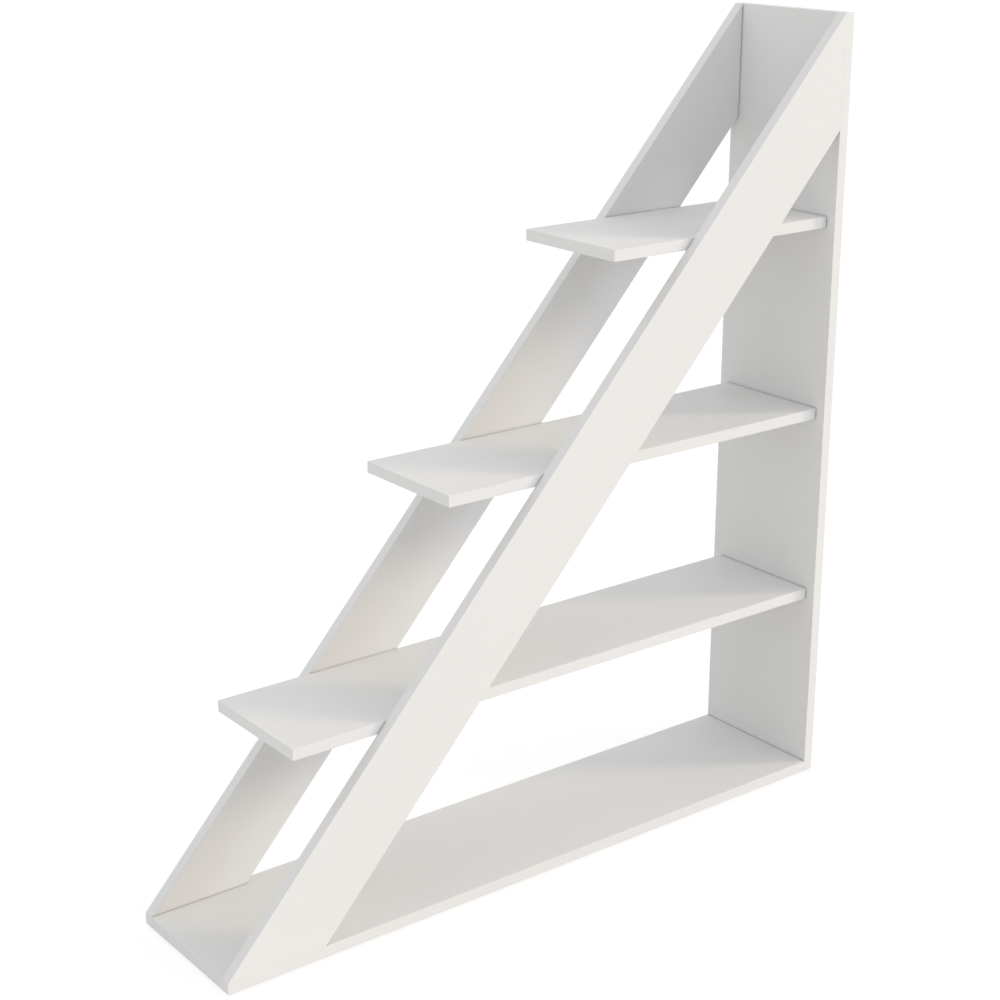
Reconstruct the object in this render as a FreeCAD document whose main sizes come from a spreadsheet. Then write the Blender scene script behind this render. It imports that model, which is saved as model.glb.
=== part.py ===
import FreeCAD, Part
import math
import os

import Sketcher

# Staircase bookshelf: a knock-down unit of white-faced boards. Two slanted stringers rise from a base
# board to a full-height upright and carry three shelves that step up between them.
# Frame: origin on the floor under the middle of the unit, +X along the climb towards the upright,
# +Y towards the rear, +Z up. All sizes are in millimetres.

SHELVES = ("lower", "middle", "upper")
SIDES = (-1, 1)  # front and rear

# Driving dimensions: alias, size, what it measures
SIZES = (
    ("overall_width", 1180, "toe of the base to the outer face of the upright"),
    ("overall_depth", 246, "front face to rear face"),
    ("overall_height", 1300, "underside of the base to the top of the upright"),
    ("board", 18, "thickness of every board"),
    ("stringer_width", 121.6, "width of a stringer, square to its slope"),
    ("lower_nosing", 160, "lower shelf's reach past the upper edge of the stringers"),
    ("middle_nosing", 175, "middle shelf's reach past the upper edge of the stringers"),
    ("upper_nosing", 160, "upper shelf's reach past the upper edge of the stringers"),
    ("band", 0.8, "thickness of the edge banding"),
    ("band_radius", 0.5, "rounding along the banding's outer edges"),
    ("fastener_clearance", 0.1, "gap all round a fastener in its hole"),
    ("drill_allowance", 2, "extra depth of a pilot hole past the fastener's point"),
    ("blind_wall", 6, "board left outside a blind hole in a stringer"),
    ("end_gap", 0.5, "room at the blind end of a dowel, bolt or cam"),
    ("screw_length", 50, "connecting screw, overall"),
    ("screw_shank", 7, "plain shank's diameter"),
    ("screw_core", 5, "core diameter of the threaded end"),
    ("screw_head", 10, "countersunk head's diameter"),
    ("screw_head_angle", 90, "countersink angle in degrees"),
    ("screw_point", 4, "length of the tapered point"),
    ("screw_tip", 2, "diameter at the very tip"),
    ("socket_width", 4, "hexagon socket, across its flats"),
    ("socket_depth", 3.5, "hexagon socket's depth"),
    ("shelf_screw_spacing", 128, "between the two screws in a shelf's end"),
    ("base_screw_spacing", 160, "between the two screws in the base's end"),
    ("head_top_inset", 60, "upper screw in a stringer's head, below the top"),
    ("head_low_inset", 35, "lower screw in a stringer's head, above its lower corner"),
    ("foot_toe_inset", 50, "first screw in a stringer's foot, from the toe"),
    ("foot_heel_inset", 30, "second screw in a stringer's foot, from its heel"),
    ("cap_diameter", 13, "cover cap over a screw head"),
    ("cap_rise", 1.6, "how far a cap stands proud of the upright"),
    ("cap_rounding", 0.8, "rounding of a cap's rim"),
    ("peg_gap", 0.5, "room between a cap's peg and the bottom of the socket"),
    ("dowel_diameter", 8, "wooden dowel"),
    ("dowel_length", 30, "wooden dowel"),
    ("dowel_chamfer", 1, "chamfer on both ends of a dowel"),
    ("dowel_spacing", 80, "between the two dowels on either side of a cam bolt"),
    ("cam_diameter", 15, "cam housing"),
    ("cam_wall", 4.5, "board left above a cam's bore"),
    ("cam_setback", 24, "shelf's long edge to the middle of a cam"),
    ("cam_rim", 2.5, "wall of the cam's cup"),
    ("cam_floor_gap", 1, "room between a bolt's head and the cup's floor"),
    ("cam_cross_length", 8, "cross recess, tip to tip"),
    ("cam_cross_width", 1.8, "cross recess, across one arm"),
    ("cam_cross_depth", 2.5, "cross recess's depth"),
    ("bolt_thread", 5, "cam bolt's threaded end"),
    ("bolt_stem", 6, "cam bolt's stem"),
    ("bolt_neck", 4, "cam bolt's neck"),
    ("bolt_head", 6.5, "cam bolt's head, diameter"),
    ("bolt_head_length", 3, "cam bolt's head, along the bolt"),
    ("bolt_play", 0.3, "room around the neck in the cam's slot"),
    ("glide_diameter", 20, "floor glide"),
    ("glide_height", 4, "floor to the underside of the base"),
    ("glide_chamfer", 0.8, "chamfer at the floor edge of a glide"),
    ("glide_web", 1.5, "plastic between a nail's head and the base"),
    ("glide_end_inset", 40, "middle of a glide from the end of the base"),
    ("glide_side_inset", 30, "middle of a glide from the long edge of the base"),
    ("nail_diameter", 2.4, "glide nail's shank"),
    ("nail_head", 6, "glide nail's head, diameter"),
    ("nail_head_thickness", 1.2, "glide nail's head, thickness"),
    ("nail_length", 14, "glide nail from under the head"),
    ("nail_point", 3, "length of the nail's point"),
)

# Dimensions that follow from the driving ones: alias, formula
LAYOUT = [
    ("half_depth", "sizes.overall_depth / 2"),
    ("core_half_depth", "half_depth - sizes.band"),
    ("shelf_half_depth", "half_depth - sizes.board"),
    ("shelf_core_half", "shelf_half_depth - sizes.band"),
    ("stringer_middle", "half_depth - sizes.board / 2"),
    ("half_board", "sizes.board / 2"),
    ("inner_face", "sizes.overall_width - sizes.board"),
    ("climb", "sizes.overall_height - sizes.board"),
    ("step_rise", f"climb / {len(SHELVES) + 1}"),
    ("upright_core_height", "sizes.overall_height - sizes.band"),
    ("slope_length", "sqrt(climb ^ 2 + inner_face ^ 2)"),
    ("foot_run", "sizes.stringer_width * slope_length / climb"),
    ("head_drop", "sizes.stringer_width * slope_length / inner_face"),
    ("band_run", "sizes.band * slope_length / climb"),
    ("band_drop", "sizes.band * slope_length / inner_face"),
    ("left_end", "-(sizes.overall_width + sizes.cap_rise) / 2"),
    ("upright_inner", "left_end + inner_face"),
    ("upright_outer", "left_end + sizes.overall_width"),
    ("base_top", "sizes.glide_height + sizes.board"),
    ("unit_top", "sizes.glide_height + sizes.overall_height"),
    ("shank_hole", "sizes.screw_shank + 2 * sizes.fastener_clearance"),
    ("head_hole", "sizes.screw_head + 2 * sizes.fastener_clearance"),
    ("pilot_hole", "sizes.screw_core + 2 * sizes.fastener_clearance"),
    ("pilot_depth", "sizes.screw_length - sizes.board + sizes.drill_allowance"),
    ("head_height", "(sizes.screw_head - sizes.screw_shank) / 2 / tan(sizes.screw_head_angle / 2 * 1deg)"),
    ("shank_length", "sizes.board - sizes.fastener_clearance"),
    ("taper_start", "sizes.screw_length - sizes.screw_point"),
    ("socket_corner", "sizes.socket_width / sqrt(3)"),
    ("peg_radius", "sizes.socket_width / 2 - sizes.fastener_clearance"),
    ("peg_length", "sizes.socket_depth - sizes.peg_gap"),
    ("blind_depth", "sizes.board - sizes.blind_wall"),
    ("seated_depth", "blind_depth - sizes.end_gap"),
    ("dowel_hole", "sizes.dowel_diameter + 2 * sizes.fastener_clearance"),
    ("dowel_shelf_depth", "sizes.dowel_length - seated_depth + sizes.end_gap - sizes.band"),
    ("cam_bore", "sizes.cam_diameter + 2 * sizes.fastener_clearance"),
    ("cam_bore_depth", "sizes.board - sizes.cam_wall"),
    ("cam_height", "cam_bore_depth - sizes.end_gap"),
    ("cam_middle", "shelf_half_depth - sizes.cam_setback"),
    ("cup_radius", "sizes.cam_diameter / 2 - sizes.cam_rim"),
    ("cup_floor", "half_board - sizes.bolt_head / 2 - sizes.cam_floor_gap"),
    ("slot_half_width", "sizes.bolt_neck / 2 + sizes.bolt_play"),
    ("slot_depth", "cam_height - half_board + slot_half_width"),
    ("bolt_thread_hole", "sizes.bolt_thread + 2 * sizes.fastener_clearance"),
    ("bolt_bore", "sizes.bolt_stem + 2 * sizes.fastener_clearance"),
    ("bolt_bore_depth", "sizes.cam_setback - sizes.band"),
    ("stem_end", "seated_depth + sizes.cam_setback - sizes.cam_diameter / 2 - sizes.end_gap"),
    ("cup_seat", "sqrt(cup_radius ^ 2 - (sizes.bolt_head / 2) ^ 2) - sizes.fastener_clearance"),
    ("neck_end", "seated_depth + sizes.cam_setback - cup_seat"),
    ("bolt_end", "neck_end + sizes.bolt_head_length"),
    ("nail_seat", "sizes.glide_height - sizes.glide_web"),
    ("nail_foot", "nail_seat - sizes.nail_head_thickness"),
    ("nail_end", "nail_seat + sizes.nail_length"),
    ("nail_hole", "sizes.nail_diameter + 2 * sizes.fastener_clearance"),
    ("nail_hole_depth", "nail_end - sizes.glide_height + sizes.end_gap"),
    ("glide_far", "inner_face - sizes.glide_end_inset"),
    ("glide_halfway", "inner_face / 2"),
    ("glide_offset", "half_depth - sizes.glide_side_inset"),
]
for step, shelf in enumerate(SHELVES, start=1):
    LAYOUT += [
        (f"{shelf}_drop", f"climb - {step} * step_rise"),
        (f"{shelf}_length", f"{shelf}_drop * inner_face / climb + sizes.{shelf}_nosing"),
        (f"{shelf}_core_length", f"{shelf}_length - sizes.band"),
        (f"{shelf}_joint", f"({shelf}_drop + half_board) * inner_face / climb - foot_run / 2"),
        (f"{shelf}_joint_up", f"{step} * step_rise - half_board"),
        (f"{shelf}_underside", f"base_top + {step} * step_rise - sizes.board"),
    ]

# Screws driven through the upright: sub-part, and each screw's place across and up the upright's face
UPRIGHT_SCREWS = {
    "shelf_end_screws": [
        (f"{side} * sizes.shelf_screw_spacing / 2", f"sizes.board + layout.{shelf}_joint_up")
        for shelf in SHELVES
        for side in SIDES
    ],
    "stringer_head_screws": [
        (f"{side} * layout.stringer_middle", up)
        for up in (
            "sizes.overall_height - sizes.head_top_inset",
            "sizes.overall_height - layout.head_drop + sizes.head_low_inset",
        )
        for side in SIDES
    ],
    "base_end_screws": [
        (f"{side} * sizes.base_screw_spacing / 2", "layout.half_board")
        for side in SIDES
    ],
}
FOOT_SCREWS = ("sizes.foot_toe_inset", "layout.foot_run - sizes.foot_heel_inset")
GLIDES = [
    (along, f"{side} * layout.glide_offset")
    for along in ("sizes.glide_end_inset", "layout.glide_halfway", "layout.glide_far")
    for side in SIDES
]

# How a sketch numbers the points of a line or circle
START, END, CENTRE = range(1, 4)

TURN_X, TURN_Y, TURN_Z = FreeCAD.Vector(1, 0, 0), FreeCAD.Vector(0, 1, 0), FreeCAD.Vector(0, 0, 1)
AS_DRAWN = FreeCAD.Rotation()
HALF_TURN = FreeCAD.Rotation(TURN_Z, 180)
DRIVEN_LEFT = FreeCAD.Rotation(TURN_Y, -90)
POINTING_BACK = FreeCAD.Rotation(TURN_X, -90)
POINTING_FORWARD = FreeCAD.Rotation(TURN_X, 90)
BAND_FRONT = FreeCAD.Rotation(TURN_Y, 90)
BAND_REAR = HALF_TURN.multiply(BAND_FRONT)
BAND_LEFT = FreeCAD.Rotation(TURN_Z, -90).multiply(BAND_FRONT)
BAND_TOP = FreeCAD.Rotation(TURN_X, -90)

doc = FreeCAD.newDocument("staircase_bookshelf")
nodes = []


def add_sheet(name, rows):
    """Fill a sheet: alias in column A, value or formula in B, meaning in C."""
    sheet = doc.addObject("Spreadsheet::Sheet", name)
    for line, (alias, content, meaning) in enumerate(rows, start=1):
        sheet.set(f"A{line}", alias)
        sheet.set(f"B{line}", content)
        sheet.setAlias(f"B{line}", alias)
        sheet.set(f"C{line}", meaning)
    doc.recompute()
    return sheet


def add_node(piece, label):
    """Keep a finished piece as a sub-part under its own label."""
    piece.Label = label
    nodes.append(piece)
    return piece


def place(piece, across, deep, up, rotation=AS_DRAWN):
    """Set a piece's turn, and bind its place to expressions."""
    piece.Placement = FreeCAD.Placement(FreeCAD.Vector(), rotation)
    for axis, expression in zip("xyz", (across, deep, up)):
        piece.setExpression(f"Placement.Base.{axis}", expression)
    return piece


def add_sketch(body, name, role, offset="0"):
    """Start a sketch on one of the body's own origin planes, moved along its normal."""
    plane = next(item for item in body.Origin.OriginFeatures if item.Role == role)
    sketch = body.newObject("Sketcher::SketchObject", name)
    sketch.AttachmentSupport = [(plane, "")]
    sketch.MapMode = "FlatFace"
    sketch.setExpression("AttachmentOffset.Base.z", offset)
    return sketch


def pin(sketch, geometry, point, across, up):
    """Dimension a point from the sketch's origin, both ways."""
    for kind, expression in (("DistanceX", across), ("DistanceY", up)):
        index = sketch.addConstraint(Sketcher.Constraint(kind, geometry, point, 1.0))
        sketch.setExpression(f"Constraints[{index}]", expression)


def draw_polygon(sketch, corners):
    """Draw a closed outline through dimensioned corners."""
    count = len(corners)
    turns = [2 * math.pi * index / count for index in range(count)]
    rough = [FreeCAD.Vector(math.cos(turn), math.sin(turn), 0) for turn in turns]
    for index in range(count):
        sketch.addGeometry(Part.LineSegment(rough[index], rough[(index + 1) % count]))
    for index in range(count):
        sketch.addConstraint(Sketcher.Constraint("Coincident", index, END, (index + 1) % count, START))
    for index, (across, up) in enumerate(corners):
        pin(sketch, index, START, across, up)


def draw_rectangle(sketch, low, high):
    """Draw a rectangle between two opposite corners."""
    draw_polygon(sketch, [low, (high[0], low[1]), high, (low[0], high[1])])


def draw_circles(sketch, centres, diameter):
    """Draw like circles at dimensioned centres."""
    for index, (across, up) in enumerate(centres):
        sketch.addGeometry(Part.Circle(FreeCAD.Vector(index, index, 0), TURN_Z, 1.0))
        pin(sketch, index, CENTRE, across, up)
        size = sketch.addConstraint(Sketcher.Constraint("Diameter", index, 1.0))
        sketch.setExpression(f"Constraints[{size}]", diameter)


def add_pad(body, sketch, length, side="One side"):
    """Thicken a sketch into the body's first solid."""
    pad = body.newObject("PartDesign::Pad", "pad")
    pad.Profile = sketch
    pad.SideType = side
    pad.setExpression("Length", length)
    doc.recompute()
    return pad


def checked_cut(body, cut, before):
    """Make sure that a cut took material away from its body."""
    doc.recompute()
    if not 0 < body.Shape.Volume < before:
        raise RuntimeError(f"{cut.Label} in {body.Label} cuts nothing")
    return cut


def add_pocket(body, sketch, depth, along_normal=False):
    """Cut a sketch into the solid to a depth, against its plane's normal unless told otherwise."""
    before = body.Shape.Volume
    pocket = body.newObject("PartDesign::Pocket", "pocket")
    pocket.Profile = sketch
    pocket.Reversed = along_normal
    pocket.setExpression("Length", depth)
    return checked_cut(body, pocket, before)


def add_holes(body, name, role, offset, centres, diameter, depth, along_normal=False):
    """Drill like blind holes from one plane."""
    sketch = add_sketch(body, name, role, offset)
    draw_circles(sketch, centres, diameter)
    return add_pocket(body, sketch, depth, along_normal)


def add_countersunk_holes(body, name, role, offset, centres, along_normal=False):
    """Drill the connecting screws' through holes, countersunk for their heads."""
    before = body.Shape.Volume
    sketch = add_sketch(body, name, role, offset)
    draw_circles(sketch, centres, "layout.shank_hole")
    doc.recompute()
    hole = body.newObject("PartDesign::Hole", f"{name}_drilled")
    hole.Profile = sketch
    doc.recompute()
    hole.Reversed = along_normal
    hole.DepthType = "ThroughAll"
    hole.HoleCutType = "Countersink"
    hole.setExpression("Diameter", "layout.shank_hole")
    hole.setExpression("HoleCutDiameter", "layout.head_hole")
    hole.setExpression("HoleCutCountersinkAngle", "sizes.screw_head_angle")
    return checked_cut(body, hole, before)


def add_rounding(body, base, radius, picked):
    """Round the edges of a feature that a test picks out."""
    names = [f"Edge{index}" for index, edge in enumerate(base.Shape.Edges, start=1) if picked(edge)]
    fillet = body.newObject("PartDesign::Fillet", "rounding")
    fillet.Base = (base, names)
    fillet.setExpression("Radius", radius)
    doc.recompute()
    return fillet


def new_body(name):
    return doc.addObject("PartDesign::Body", name)


def turned_body(name, profile):
    """Turn a half profile of (radius, height) corners about the body's own Z axis."""
    body = new_body(name)
    sketch = add_sketch(body, "profile", "XZ_Plane")
    draw_polygon(sketch, profile)
    turned = body.newObject("PartDesign::Revolution", "turned")
    turned.Profile = sketch
    turned.ReferenceAxis = (sketch, ["V_Axis"])
    doc.recompute()
    return body


def add_group(label, master, places):
    """Put copies of one piece in their places as one sub-part of separate solids."""
    copies = []
    for index, (across, deep, up, rotation) in enumerate(places):
        copy = doc.addObject("App::Link", f"{label}_{index}")
        copy.LinkedObject = master
        copies.append(place(copy, across, deep, up, rotation))
    return add_set(label, copies)


def add_set(label, pieces):
    """Keep several separate solids as one sub-part."""
    group = doc.addObject("Part::Compound", label)
    group.Links = pieces
    return add_node(group, label)


# Boards


def make_upright():
    body = new_body("upright_panel")
    outline = add_sketch(body, "outline", "YZ_Plane")
    draw_rectangle(
        outline,
        ("-layout.core_half_depth", "0"),
        ("layout.core_half_depth", "layout.upright_core_height"),
    )
    add_pad(body, outline, "sizes.board")
    screws = sum(UPRIGHT_SCREWS.values(), [])
    add_countersunk_holes(body, "screw_holes", "YZ_Plane", "sizes.board", screws)
    place(body, "layout.upright_inner", "0", "sizes.glide_height")
    return add_node(body, "upright_panel")


def make_base():
    body = new_body("base_panel")
    outline = add_sketch(body, "outline", "XY_Plane")
    draw_rectangle(
        outline,
        ("sizes.band", "-layout.core_half_depth"),
        ("layout.inner_face", "layout.core_half_depth"),
    )
    add_pad(body, outline, "sizes.board")
    foot_screws = [(along, f"{side} * layout.stringer_middle") for along in FOOT_SCREWS for side in SIDES]
    add_countersunk_holes(body, "foot_screw_holes", "XY_Plane", "0", foot_screws, along_normal=True)
    add_holes(
        body, "end_pilots", "YZ_Plane", "layout.inner_face",
        UPRIGHT_SCREWS["base_end_screws"], "layout.pilot_hole", "layout.pilot_depth",
    )
    add_holes(
        body, "nail_holes", "XY_Plane", "0",
        GLIDES, "layout.nail_hole", "layout.nail_hole_depth", along_normal=True,
    )
    place(body, "layout.left_end", "0", "sizes.glide_height")
    return add_node(body, "base_panel")


def dowel_places(joint):
    """Where the two dowels of a joint lie, on either side of its middle."""
    return [f"{joint} + {side} * sizes.dowel_spacing / 2" for side in SIDES]


def make_stringer(name, side):
    """A slanted board: side is -1 at the front and 1 at the rear."""
    body = new_body(name)
    outline = add_sketch(body, "outline", "XZ_Plane")
    draw_polygon(
        outline,
        [
            ("layout.band_run", "0"),
            ("layout.foot_run - layout.band_run", "0"),
            ("layout.inner_face", "layout.climb - layout.head_drop + layout.band_drop"),
            ("layout.inner_face", "layout.climb - layout.band_drop"),
        ],
    )
    add_pad(body, outline, "sizes.board", "Symmetric")
    add_holes(
        body, "foot_pilots", "XY_Plane", "0",
        [(along, "0") for along in FOOT_SCREWS], "layout.pilot_hole", "layout.pilot_depth", along_normal=True,
    )
    head_ups = {up for across, up in UPRIGHT_SCREWS["stringer_head_screws"]}
    add_holes(
        body, "head_pilots", "YZ_Plane", "layout.inner_face",
        [("0", f"{up} - sizes.board") for up in sorted(head_ups)], "layout.pilot_hole", "layout.pilot_depth",
    )
    inner_side = f"{side} * layout.half_board"
    joints = [(f"layout.inner_face - layout.{shelf}_joint", f"layout.{shelf}_joint_up") for shelf in SHELVES]
    dowels = [(along, up) for joint, up in joints for along in dowel_places(joint)]
    for hole_name, centres, diameter in (
        ("bolt_holes", joints, "layout.bolt_thread_hole"),
        ("dowel_holes", dowels, "layout.dowel_hole"),
    ):
        add_holes(
            body, hole_name, "XZ_Plane", inner_side,
            centres, diameter, "layout.blind_depth", along_normal=side < 0,
        )
    place(body, "layout.left_end", f"{side} * layout.stringer_middle", "layout.base_top")
    return add_node(body, name)


def make_shelf(shelf):
    """A shelf, drawn from its end at the upright outwards, so it is placed with a half turn."""
    body = new_body(f"{shelf}_shelf")
    outline = add_sketch(body, "outline", "XY_Plane")
    draw_rectangle(
        outline,
        ("0", "-layout.shelf_core_half"),
        (f"layout.{shelf}_core_length", "layout.shelf_core_half"),
    )
    add_pad(body, outline, "sizes.board")
    add_holes(
        body, "end_pilots", "YZ_Plane", "0",
        [(f"{side} * sizes.shelf_screw_spacing / 2", "layout.half_board") for side in SIDES],
        "layout.pilot_hole", "layout.pilot_depth", along_normal=True,
    )
    joint = f"layout.{shelf}_joint"
    add_holes(
        body, "cam_bores", "XY_Plane", "0",
        [(joint, f"{side} * layout.cam_middle") for side in SIDES],
        "layout.cam_bore", "layout.cam_bore_depth", along_normal=True,
    )
    dowels = [(along, "layout.half_board") for along in dowel_places(joint)]
    for side in SIDES:
        long_edge = f"{side} * layout.shelf_core_half"
        for name, centres, diameter, depth in (
            ("bolt_bore", [(joint, "layout.half_board")], "layout.bolt_bore", "layout.bolt_bore_depth"),
            ("dowel_holes", dowels, "layout.dowel_hole", "layout.dowel_shelf_depth"),
        ):
            add_holes(body, name, "XZ_Plane", long_edge, centres, diameter, depth, along_normal=side < 0)
    place(body, "layout.upright_inner", "0", f"layout.{shelf}_underside", HALF_TURN)
    return add_node(body, f"{shelf}_shelf")


# Edge banding


def make_band(name, length, across, deep, up, rotation):
    """A strip as wide as a board: outer side on the XZ plane, length along Z."""
    body = new_body(name)
    section = add_sketch(body, "section", "XY_Plane")
    draw_rectangle(section, ("0", "0"), ("sizes.board", "sizes.band"))
    strip = add_pad(body, section, length)
    add_rounding(body, strip, "sizes.band_radius", is_outer_long_edge)
    return place(body, across, deep, up, rotation)


def is_outer_long_edge(edge):
    first, last = (vertex.Point for vertex in edge.Vertexes)
    return abs(first.y) + abs(last.y) < Part.Precision.confusion() and abs(first.z - last.z) > sizes.band


def make_frame_bands(name, length, half, left, right, top):
    """Front, rear and left-end strips round a flat board."""
    front = make_band(f"{name}_front_band", length, left, f"-{half}", top, BAND_FRONT)
    rear = make_band(f"{name}_rear_band", length, right, half, top, BAND_REAR)
    inner = f"{half} - sizes.band"
    end = make_band(f"{name}_end_band", f"2 * ({inner})", left, inner, top, BAND_LEFT)
    return front, rear, end


def make_base_bands():
    bands = make_frame_bands(
        "base", "layout.inner_face", "layout.half_depth",
        "layout.left_end", "layout.upright_inner", "layout.base_top",
    )
    return add_set("base_edge_bands", list(bands))


def make_shelf_bands(shelf):
    """The strips round a shelf, with its joint's holes through the two long ones."""
    length = f"layout.{shelf}_length"
    left = f"layout.upright_inner - {length}"
    top = f"layout.{shelf}_underside + sizes.board"
    bands = make_frame_bands(shelf, length, "layout.shelf_half_depth", left, "layout.upright_inner", top)
    joint = f"layout.{shelf}_joint"
    for band, start in ((bands[0], f"{length} - {joint}"), (bands[1], joint)):
        dowels = [("layout.half_board", along) for along in dowel_places(start)]
        for name, centres, diameter in (
            ("bolt_hole", [("layout.half_board", start)], "layout.bolt_bore"),
            ("dowel_holes", dowels, "layout.dowel_hole"),
        ):
            add_holes(band, name, "XZ_Plane", "0", centres, diameter, "sizes.band")
    return add_set(f"{shelf}_shelf_edge_bands", list(bands))


def make_upright_bands():
    sides = [
        make_band(
            "upright_front_band", "sizes.overall_height",
            "layout.upright_inner", "-layout.half_depth", "sizes.glide_height", AS_DRAWN,
        ),
        make_band(
            "upright_rear_band", "sizes.overall_height",
            "layout.upright_outer", "layout.half_depth", "sizes.glide_height", HALF_TURN,
        ),
    ]
    top = make_band(
        "upright_top_band", "2 * layout.core_half_depth",
        "layout.upright_inner", "-layout.core_half_depth", "layout.unit_top", BAND_TOP,
    )
    return add_set("upright_edge_bands", sides + [top])


def make_stringer_bands(name, side):
    """The strips along a stringer's upper and lower edges, cut level at the foot and plumb at the head."""
    strips = []
    for position, foot, head, inward in (
        ("upper", "0", "0", 1),
        ("lower", "layout.foot_run", "layout.head_drop", -1),
    ):
        body = new_body(f"{name}_{position}_band")
        outline = add_sketch(body, "outline", "XZ_Plane")
        draw_polygon(
            outline,
            [
                (foot, "0"),
                (f"{foot} + {inward} * layout.band_run", "0"),
                ("layout.inner_face", f"layout.climb - {head} - {inward} * layout.band_drop"),
                ("layout.inner_face", f"layout.climb - {head}"),
            ],
        )
        strip = add_pad(body, outline, "sizes.board", "Symmetric")
        start = 0 if position == "upper" else layout.foot_run
        add_rounding(body, strip, "sizes.band_radius", lambda edge, start=start: lies_on_slope(edge, start))
        strips.append(place(body, "layout.left_end", f"{side} * layout.stringer_middle", "layout.base_top"))
    return add_set(f"{name}_edge_bands", strips)


def lies_on_slope(edge, start):
    """Whether an edge runs up the slope that leaves the base at a distance from the toe."""
    first, last = (vertex.Point for vertex in edge.Vertexes)
    steepness = layout.climb / layout.inner_face
    misses = [abs(point.z - (point.x - start) * steepness) for point in (first, last)]
    return max(misses) < Part.Precision.confusion() and abs(first.z - last.z) > sizes.board


# Fasteners


def make_screws():
    """Connecting screws: countersunk, hexagon socket, plain shank, thread drawn at its core."""
    screw = turned_body(
        "connecting_screw",
        [
            ("0", "0"),
            ("sizes.screw_head / 2", "0"),
            ("sizes.screw_shank / 2", "layout.head_height"),
            ("sizes.screw_shank / 2", "layout.shank_length"),
            ("sizes.screw_core / 2", "layout.shank_length"),
            ("sizes.screw_core / 2", "layout.taper_start"),
            ("sizes.screw_tip / 2", "sizes.screw_length"),
            ("0", "sizes.screw_length"),
        ],
    )
    socket = add_sketch(screw, "socket", "XY_Plane")
    half_flat, half_side = "sizes.socket_width / 2", "layout.socket_corner / 2"
    draw_polygon(
        socket,
        [
            ("layout.socket_corner", "0"),
            (half_side, half_flat),
            (f"-{half_side}", half_flat),
            ("-layout.socket_corner", "0"),
            (f"-{half_side}", f"-{half_flat}"),
            (half_side, f"-{half_flat}"),
        ],
    )
    add_pocket(screw, socket, "sizes.socket_depth", along_normal=True)
    for label, places in UPRIGHT_SCREWS.items():
        add_group(label, screw, [on_upright(*spot) for spot in places])
    add_group(
        "stringer_foot_screws",
        screw,
        [
            (f"layout.left_end + {along}", f"{side} * layout.stringer_middle", "sizes.glide_height", AS_DRAWN)
            for along in FOOT_SCREWS
            for side in SIDES
        ],
    )


def on_upright(deep, up):
    """A place on the upright's outer face, pointing inwards."""
    return "layout.upright_outer", deep, f"sizes.glide_height + {up}", DRIVEN_LEFT


def make_caps():
    """Cover caps whose pegs press into the screws' sockets."""
    cap = turned_body(
        "cover_cap",
        [
            ("0", "-sizes.cap_rise"),
            ("sizes.cap_diameter / 2", "-sizes.cap_rise"),
            ("sizes.cap_diameter / 2", "0"),
            ("layout.peg_radius", "0"),
            ("layout.peg_radius", "layout.peg_length"),
            ("0", "layout.peg_length"),
        ],
    )
    add_rounding(cap, cap.Tip, "sizes.cap_rounding", is_cap_rim)
    screws = sum(UPRIGHT_SCREWS.values(), [])
    return add_group("screw_cover_caps", cap, [on_upright(*spot) for spot in screws])


def is_cap_rim(edge):
    box = edge.BoundBox
    return box.ZMax < -sizes.cap_rise / 2 and box.XLength > sizes.cap_diameter / 2


def at_joints(depth, along_shift="0"):
    """The same spot at every joint of a shelf and a stringer, front and rear, pointing into the shelf."""
    return [
        (
            f"layout.upright_inner - layout.{shelf}_joint + {along_shift}",
            f"{side} * (layout.shelf_half_depth + {depth})",
            f"layout.{shelf}_underside + layout.half_board",
            POINTING_BACK if side < 0 else POINTING_FORWARD,
        )
        for shelf in SHELVES
        for side in SIDES
    ]


def make_dowels():
    radius, chamfered = "sizes.dowel_diameter / 2", "sizes.dowel_diameter / 2 - sizes.dowel_chamfer"
    dowel = turned_body(
        "dowel",
        [
            ("0", "0"),
            (chamfered, "0"),
            (radius, "sizes.dowel_chamfer"),
            (radius, "sizes.dowel_length - sizes.dowel_chamfer"),
            (chamfered, "sizes.dowel_length"),
            ("0", "sizes.dowel_length"),
        ],
    )
    places = [spot for shift in dowel_places("0") for spot in at_joints("layout.seated_depth", shift)]
    return add_group("shelf_dowels", dowel, places)


def make_cam_bolts():
    """Bolts screwed into the stringers, each with a stem, a neck and a head for its cam to catch."""
    bolt = turned_body(
        "cam_bolt",
        [
            ("0", "0"),
            ("sizes.bolt_thread / 2", "0"),
            ("sizes.bolt_thread / 2", "layout.seated_depth"),
            ("sizes.bolt_stem / 2", "layout.seated_depth"),
            ("sizes.bolt_stem / 2", "layout.stem_end"),
            ("sizes.bolt_neck / 2", "layout.stem_end"),
            ("sizes.bolt_neck / 2", "layout.neck_end"),
            ("sizes.bolt_head / 2", "layout.neck_end"),
            ("sizes.bolt_head / 2", "layout.bolt_end"),
            ("0", "layout.bolt_end"),
        ],
    )
    return add_group("cam_bolts", bolt, at_joints("layout.seated_depth"))


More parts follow.
